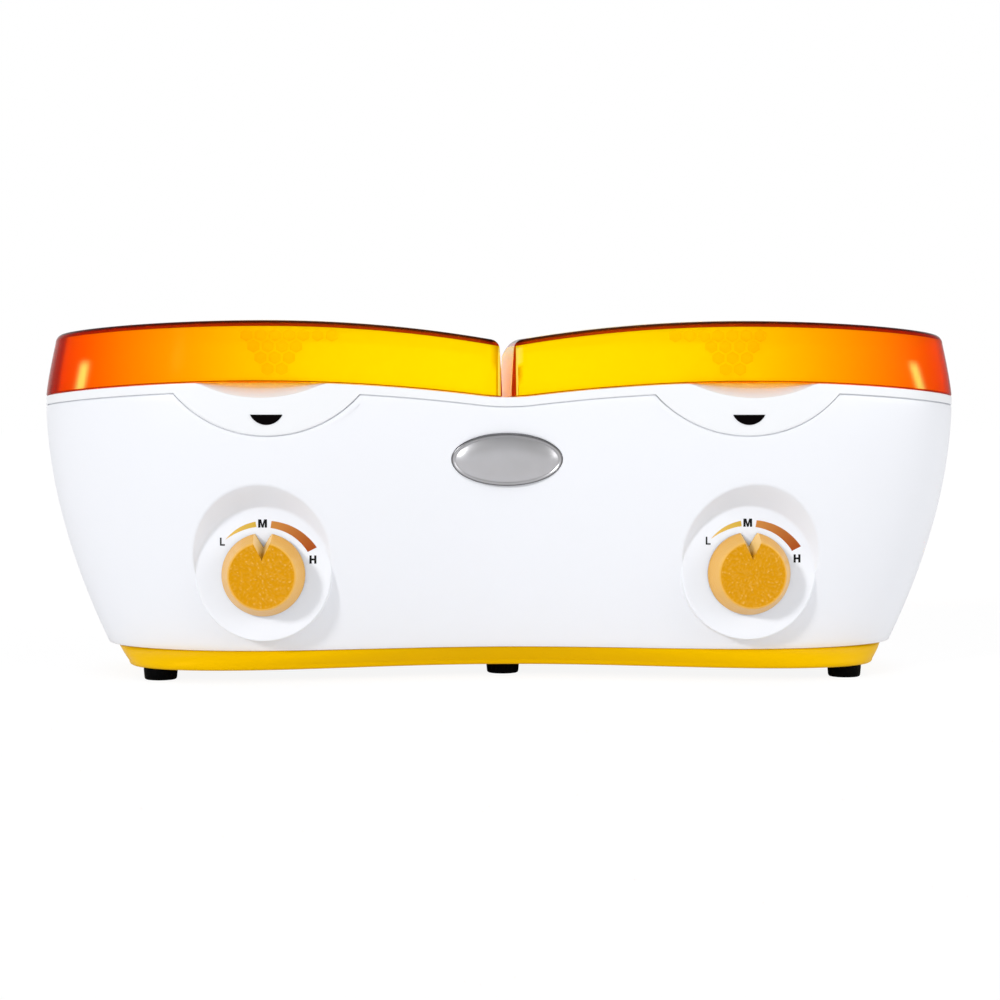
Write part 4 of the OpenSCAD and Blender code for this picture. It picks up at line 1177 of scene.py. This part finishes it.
# Distance from a dial's axis and how pale its bevel is painted there, a painted sheen; its grain;
# and its painted glints
BEVEL_PAINTED_SHEEN = ((13.4, 0.0), (14.2, 0.6), (15.0, 0.5), (17.2, 0.4), (17.7, 0.15))
GRAIN_TINT = 0.12
GRAIN_R = KNOB_FACE_R - 0.7
GRAIN_FADE = 0.8
GRAIN_DOWN = 0.22
GRAIN_H = 0.26
GLINT_PAINT = 0.35
GLINT_FROM = 1.0
GLINT_FADE = 0.25
BEVEL_SOFT = 0.9
NOTCH_SOFT = 0.5
# The notch's walls are paler from this radius out over this length
NOTCH_PALE_R = 8.8
NOTCH_PALE_L = 2
# Radii of the rows on a dial's face and over its edge, and of the last ones down its skirt
FACE_RS = tuple(np.arange(0.5, KNOB_FACE_R - 0.6, 0.42))
RIM_RS = (13.75, 13.95, 14.15, 14.35, 14.55, 14.8, 15.2, 15.7, 16.2, 16.7, 17.2, 17.5, 17.62)
SKIRT = ((KNOB_R, SKIRT_TOP - 0.2), (KNOB_R, KNOB_BASE + 0.3), (KNOB_R - 0.15, KNOB_BASE))


def make_knob(name, body, side):
    turn = np.concatenate([np.radians(np.linspace(58, 122, 120, endpoint=False)),
                           np.radians(np.linspace(122, 418, 190, endpoint=False))])
    slope = (KNOB_TOP - SKIRT_TOP) / (KNOB_R - KNOB_FACE_R)
    skin = Skin()
    place = dial_place(side)
    rows, heights = [], []

    def add(across, up, height, tint):
        height = np.maximum(height, KNOB_BASE)
        rows.append(skin.row(*place(across, up, height), tint))
        heights.append(height)

    for r in FACE_RS + RIM_RS:
        across, up = polar(r, turn)
        flat = soft_min(KNOB_TOP, SKIRT_TOP + (KNOB_R - r) * slope, BEVEL_SOFT)
        calm = np.clip((GRAIN_R - r) / GRAIN_FADE, 0, 1)
        # Painted sheen on the bevel.
        tint = read_stops(BEVEL_PAINTED_SHEEN, r)
        if calm > 0:
            grain = np.array([pebble(a, b, side) for a, b in zip(across, up)])
            flat = flat - GRAIN_DOWN * calm + GRAIN_H * calm * grain
            # Painted glints on the highest pebbles.
            glints = np.clip((grain - GLINT_FROM) / GLINT_FADE, 0, 1)
            tint = GRAIN_TINT * np.clip(grain, 0, 1) + GLINT_PAINT * glints
        cut = notch_height(across, up)
        pale = np.clip((r - NOTCH_PALE_R) / NOTCH_PALE_L, 0, 1)
        add(across, up, soft_min(flat, cut, NOTCH_SOFT), np.where(cut < flat, pale, tint))
    for r, out in SKIRT:
        across, up = polar(r, turn)
        # The skirt keeps the last of the bevel's painted sheen.
        add(across, up, np.minimum(notch_height(across, up), out), BEVEL_PAINTED_SHEEN[-1][1])
    cells = []
    for low, high in zip(heights, heights[1:]):
        cut = np.maximum(low, high) < KNOB_BASE + 1e-4
        cells.append(~(cut & np.roll(cut, -1)))
    radii = FACE_RS + RIM_RS + tuple(r for r, _out in SKIRT)
    under = [skin.row(*place(*polar(r, turn), KNOB_BASE)) for r in radii]
    for layer, centre in ((rows, float(heights[0].mean())), (under, KNOB_BASE)):
        for a, b, keep in zip(layer, layer[1:], cells):
            skin.strip(a, b, keep=keep)
        skin.fan(layer[0], *place(0.0, 0.0, centre))
    moulding(name + "_dial", skin, KNOB_AMBER, [name], body, sharp=40)


def pebble(across, up, seed):
    """Height of the pebbled grain on a dial's face, from broad and fine noise."""
    broad, fine = (noise.noise(Vector((across * scale, up * scale, seed * apart)))
                   for scale, apart in ((1.15, 7.3), (2.6, 3.1)))
    return max(0.0, broad * 1.5 + 0.25) + 0.35 * max(0.0, fine)


# Angle from the top, inner and outer radius along each band of the scale
ARC_BANDS = {
    "low": [(-47, 21.85, 21.95), (-40, 21.4, 22.1), (-30, 20.9, 22.4), (-20, 20.6, 22.6),
            (-8.5, 20.4, 22.75)],
    "high": [(8.5, 20.0, 23.0), (20, 20.1, 23.3), (32, 20.3, 23.8), (48, 20.6, 24.5),
             (63, 21.0, 25.3)],
}
# Middle, width and height of each letter, and its shape as shares of them
LETTERS = {
    "L": ((-17.4, 14.0), 3.4, 3.4, [(0, 0), (.62, 0), (.62, .18), (.2, .18), (.2, 1), (0, 1)]),
    "M": ((-0.4, 21.7), 3.9, 3.5,
          [(0, 0), (.25, 0), (.25, .6), (.38, 0), (.58, 0), (.71, .6), (.71, 0), (.96, 0),
           (.96, 1), (.64, 1), (.48, .36), (.32, 1), (0, 1)]),
    "H": ((20.9, 6.3), 3.6, 3.5,
          [(0, 0), (.26, 0), (.26, .4), (.56, .4), (.56, 0), (.82, 0), (.82, 1), (.56, 1),
           (.56, .62), (.26, .62), (.26, 1), (0, 1)]),
}
PRINT_T = 0.05


def make_dial_marks(name, side):
    place = dial_place(side)
    for band, stops in ARC_BANDS.items():
        angles, inner, outer = np.array(stops, float).T
        fine = np.linspace(angles[0], angles[-1], 60)
        skin = Skin()
        rings = []
        for reach, out in ((inner, 0), (inner, PRINT_T), (outer, PRINT_T), (outer, 0)):
            points = place(*polar(np.interp(fine, angles, reach), np.radians(90 - fine)), out)
            rings.append(skin.row(*points, np.linspace(0, 1, len(fine))))
        skin.strips(rings + rings[:1], closed=False)
        for end in (0, -1):
            skin.face([ring[end] for ring in rings])
        moulding(f"{name}_{band}_band", skin, BAND_INKS[band])
    for letter, ((cx, cy), wide, high, shape) in LETTERS.items():
        across, up = np.array(shape, float).T
        across = cx + (across - across.max() / 2) * wide
        up = cy + (up - 0.5) * high
        skin = Skin()
        skin.solid([skin.row(*place(across, up, out)) for out in (0, PRINT_T)])
        moulding(f"{name}_mark_{letter}", skin, PRINT_BLACK)


# Badge, pilot lenses and gland

# Distance in from the badge's edge and how dark it is painted there, painted shade in the gap round
# its edge and in the dip behind its rim, and how dark the painted shade on its top is
BADGE_EDGE_PAINTED_SHADE = ((0.0, 0.75), (0.5, 0.75), (0.7, 0.1), (1.2, 0.1), (1.6, 0.3), (1.9, 0.0))
BADGE_TOP_PAINTED_SHADE = 0.5
# Inset and height of the badge's rim, ending where its dome begins, and the dome
BADGE_RIM = [(0, 0), (0, 1.9), (0.12, 2.2), (0.4, 2.35), (0.8, 2.4), (1.2, 2.32), (1.45, 2.15),
             (1.6, 2.08), (1.8, 2.12)]
DOME_H = 1.6
DOME_POWER = 2.6
DOME_FLAT = 0.6


def make_badge():
    turn = full_turn(144)
    start, low = BADGE_RIM[-1]
    run = BADGE_H / 2 - start - DOME_FLAT
    dome = [(start + run * q, low + DOME_H * (1 - (1 - q) ** DOME_POWER))
            for q in np.linspace(0.06, 1, 22)]
    skin = Skin()
    rows = []
    for inset, out in BADGE_RIM + dome:
        up = (BADGE_H / 2 - inset) * np.sin(turn)
        # Painted shade in the gap round the edge, in the dip behind the rim, and darker towards the
        # top.
        top = BADGE_TOP_PAINTED_SHADE * np.clip(up / BADGE_H * 2, 0, 1) ** 2
        points = badge_point((BADGE_W / 2 - inset) * np.cos(turn), up, out)
        rows.append(skin.row(*points, np.maximum(read_stops(BADGE_EDGE_PAINTED_SHADE, inset), top)))
    skin.solid(rows)
    moulding("badge_dome", skin, BADGE_SILVER, ["badge_plate"])


# Size and height of the rows of a lens, drawn in towards a point below its upper edge
LENS_ROWS = ((1, -3.4), (1, -0.25), (0.985, -0.08), (0.95, 0.0), (0.8, 0.03), (0.4, 0.05))
LENS_MIDDLE = LENS_H * 0.4


def make_lens(name, side):
    r = (LENS_W ** 2 / 4 + LENS_H ** 2) / (2 * LENS_H)
    half = math.asin(LENS_W / 2 / r)
    arc = np.linspace(-half, half, 40)
    straight = np.linspace(LENS_W / 2, -LENS_W / 2, 24)[1:-1]
    across = np.concatenate([r * np.sin(arc), straight])
    down = np.concatenate([LENS_H - r + r * np.cos(arc), np.zeros(len(straight))])
    skin = Skin()
    rows = []
    for shrink, out in LENS_ROWS:
        a, d = across * shrink, LENS_MIDDLE + (down - LENS_MIDDLE) * shrink
        c, s = math.cos(LENS_TILT), math.sin(LENS_TILT) * side
        rows.append(skin.row(side * TONGUE_X + a * c - out * s, LENS_FRONT_Y - out * c - a * s,
                             LENS_TOP_Z - d))
    skin.solid(rows)
    moulding(name + "_window", skin, LENS_DARK, [name])


GLAND_Y = 51.588
GLAND_Z = 30
GLAND_PROFILE = ((3.75, -10), (5.7, -10), (5.7, 0), (8.6, 0), (9, 0.4), (9, 1.7), (8.6, 2.2),
                 (7.8, 2.5), (6.6, 2.3), (6.2, 1.9), (5.8, 2.3), (5.2, 2.5), (4.1, 2.4),
                 (3.75, 2.0), (3.75, -10))


def make_gland():
    skin = lathe(GLAND_PROFILE, lambda a, b, h: (a, GLAND_Y + h, GLAND_Z + b), 72)
    moulding("cord_gland_ring", skin, INNER_FINISHES["cord_gland"], ["cord_gland"])


# Pots and hinge ears

def make_pot(name, side):
    top_z = FLANGE_Z + FLANGE_T
    floor_z = top_z - POT_DEPTH
    outer_r = POT_R + POT_T
    lip_r = outer_r + FLANGE_W
    profile = rounded([(0, floor_z - POT_T), (outer_r, floor_z - POT_T), (outer_r, FLANGE_Z)],
                      {1: 4.0}, 7)
    profile += [(lip_r - 0.3, FLANGE_Z), (lip_r, FLANGE_Z + 0.3), (lip_r, top_z - 0.4)]
    profile += rounded([(lip_r - 0.4, top_z), (POT_R, top_z), (POT_R, floor_z), (0, floor_z)],
                       {1: 1.2, 2: 3.0}, 7)
    skin = lathe(profile, lambda a, b, h: (side * WELL_X + a, b, h), 128)
    moulding(name + "_spun", skin, POT_ALUMINIUM, [name])


# An ear's shape from the hinge's axis: its round end, neck, root and foot, and its rows
EAR_TURN = 225
EAR_NECK = EAR_R * 0.7
EAR_FRONT = -5.1
EAR_ROOT = -5.0
EAR_LOW = -7.2
EAR_GAP = 0.3
EAR_ROWS = ((0.94, 0), (1, 0.25), (1, EAR_T - 0.25), (0.94, EAR_T))


def make_hinge_ears():
    turn = np.radians(np.linspace(0, EAR_TURN, 22))
    shape = [(EAR_R, EAR_LOW), (EAR_R, 0)] + list(zip(*polar(EAR_R, turn[1:])))
    shape += [(-EAR_NECK, EAR_ROOT), (EAR_FRONT, EAR_ROOT), (EAR_FRONT, EAR_LOW)]
    y, z = np.array(shape).T
    skin = Skin()
    for side in (-1, 1):
        for end in (-1, 1):
            inner = side * HINGE[0] + end * (BARREL_L / 2 + EAR_GAP)
            skin.solid([skin.row(inner + end * step, HINGE[1] + y * shrink,
                                 HINGE[2] + np.where(z > EAR_LOW, z * shrink, z))
                        for shrink, step in EAR_ROWS])
    moulding("hinge_ears", skin, DECK_WHITE)


make_housing()
make_deck()
make_tray()
make_feet()
make_badge()
make_gland()
make_hinge_ears()
for word, side in SIDES.items():
    make_lid("lid_" + word, word + "_lid", side)
    make_honeycomb("lid_" + word, word + "_lid", side)
    make_knob("knob_" + word, word + "_dial", side)
    make_dial_marks("dial_" + word, side)
    make_lens("indicator_lens_" + word, side)
    make_pot("well_pot_" + word, side)

# Stage, light and camera

# Share of the floor's look that is plain white, how bright that white is, and half its size
FLOOR_SHARE = 0.86
FLOOR_GLOW = 1.05
FLOOR_HALF = 60.0
WORLD_GLOW = 0.59
# Name, direction, strength and spread in degrees of each light
SUNS = (("key_light", (0.84, 1.0, -0.47), 1.28, 8), ("fill_light", (-1.0, 0.45, -0.14), 1.4, 60),
        ("back_light", (0.1, -1.0, -0.35), 0.35, 60))
CAMERA_LENS = 78.241
CAMERA_PLACE = (-0.03881, -1.0, 0.109404)
CAMERA_DOWN = 0.03275
CAMERA_RIGHT = 0.03861


def seen_plainly(tree):
    """Picks out what the camera sees, straight or through a see-through piece."""
    path = node(tree, "LightPath").outputs
    return maths(tree, path["Is Camera Ray"], path["Is Transmission Ray"], "MAXIMUM")


def make_stage():
    made, tree, shader = material("pale_floor")
    feed(shader, {"Base Color": (0.86, 0.86, 0.87, 1), "Roughness": 0.9})
    white = node(tree, "Emission", {"Strength": FLOOR_GLOW})
    show_mixed(tree, maths(tree, seen_plainly(tree), FLOOR_SHARE), shader, white)
    mesh = bpy.data.meshes.new("floor")
    corners = [(-1, -1), (1, -1), (1, 1), (-1, 1)]
    mesh.from_pydata([(x * FLOOR_HALF, y * FLOOR_HALF, 0) for x, y in corners], [],
                     [(0, 1, 2, 3)])
    mesh.materials.append(made)
    placed("floor", mesh)


def make_world():
    world = bpy.data.worlds.new("studio")
    world.use_nodes = True
    tree = world.node_tree
    lighting = tree.nodes["Background"]
    feed(lighting, {"Color": (1, 1, 1, 1), "Strength": WORLD_GLOW})
    backdrop = node(tree, "Background", {"Color": (1, 1, 1, 1)})
    show_mixed(tree, seen_plainly(tree), lighting, backdrop, "World Output")
    bpy.context.scene.world = world


def make_suns():
    for name, towards, strength, spread in SUNS:
        light = bpy.data.lights.new(name, "SUN")
        light.energy = strength
        light.angle = math.radians(spread)
        placed(name, light).rotation_euler = Vector(towards).to_track_quat("-Z", "Y").to_euler()


def make_camera():
    lens = bpy.data.cameras.new("camera")
    lens.lens = CAMERA_LENS
    lens.sensor_width = 36
    lens.clip_start = 0.02
    camera = placed("camera", lens)
    camera.location = CAMERA_PLACE
    camera.rotation_euler = (math.radians(90) - CAMERA_DOWN, 0, -CAMERA_RIGHT)
    bpy.context.scene.camera = camera


make_stage()
make_world()
make_suns()
make_camera()
bpy.context.scene.view_settings.view_transform = "Standard"
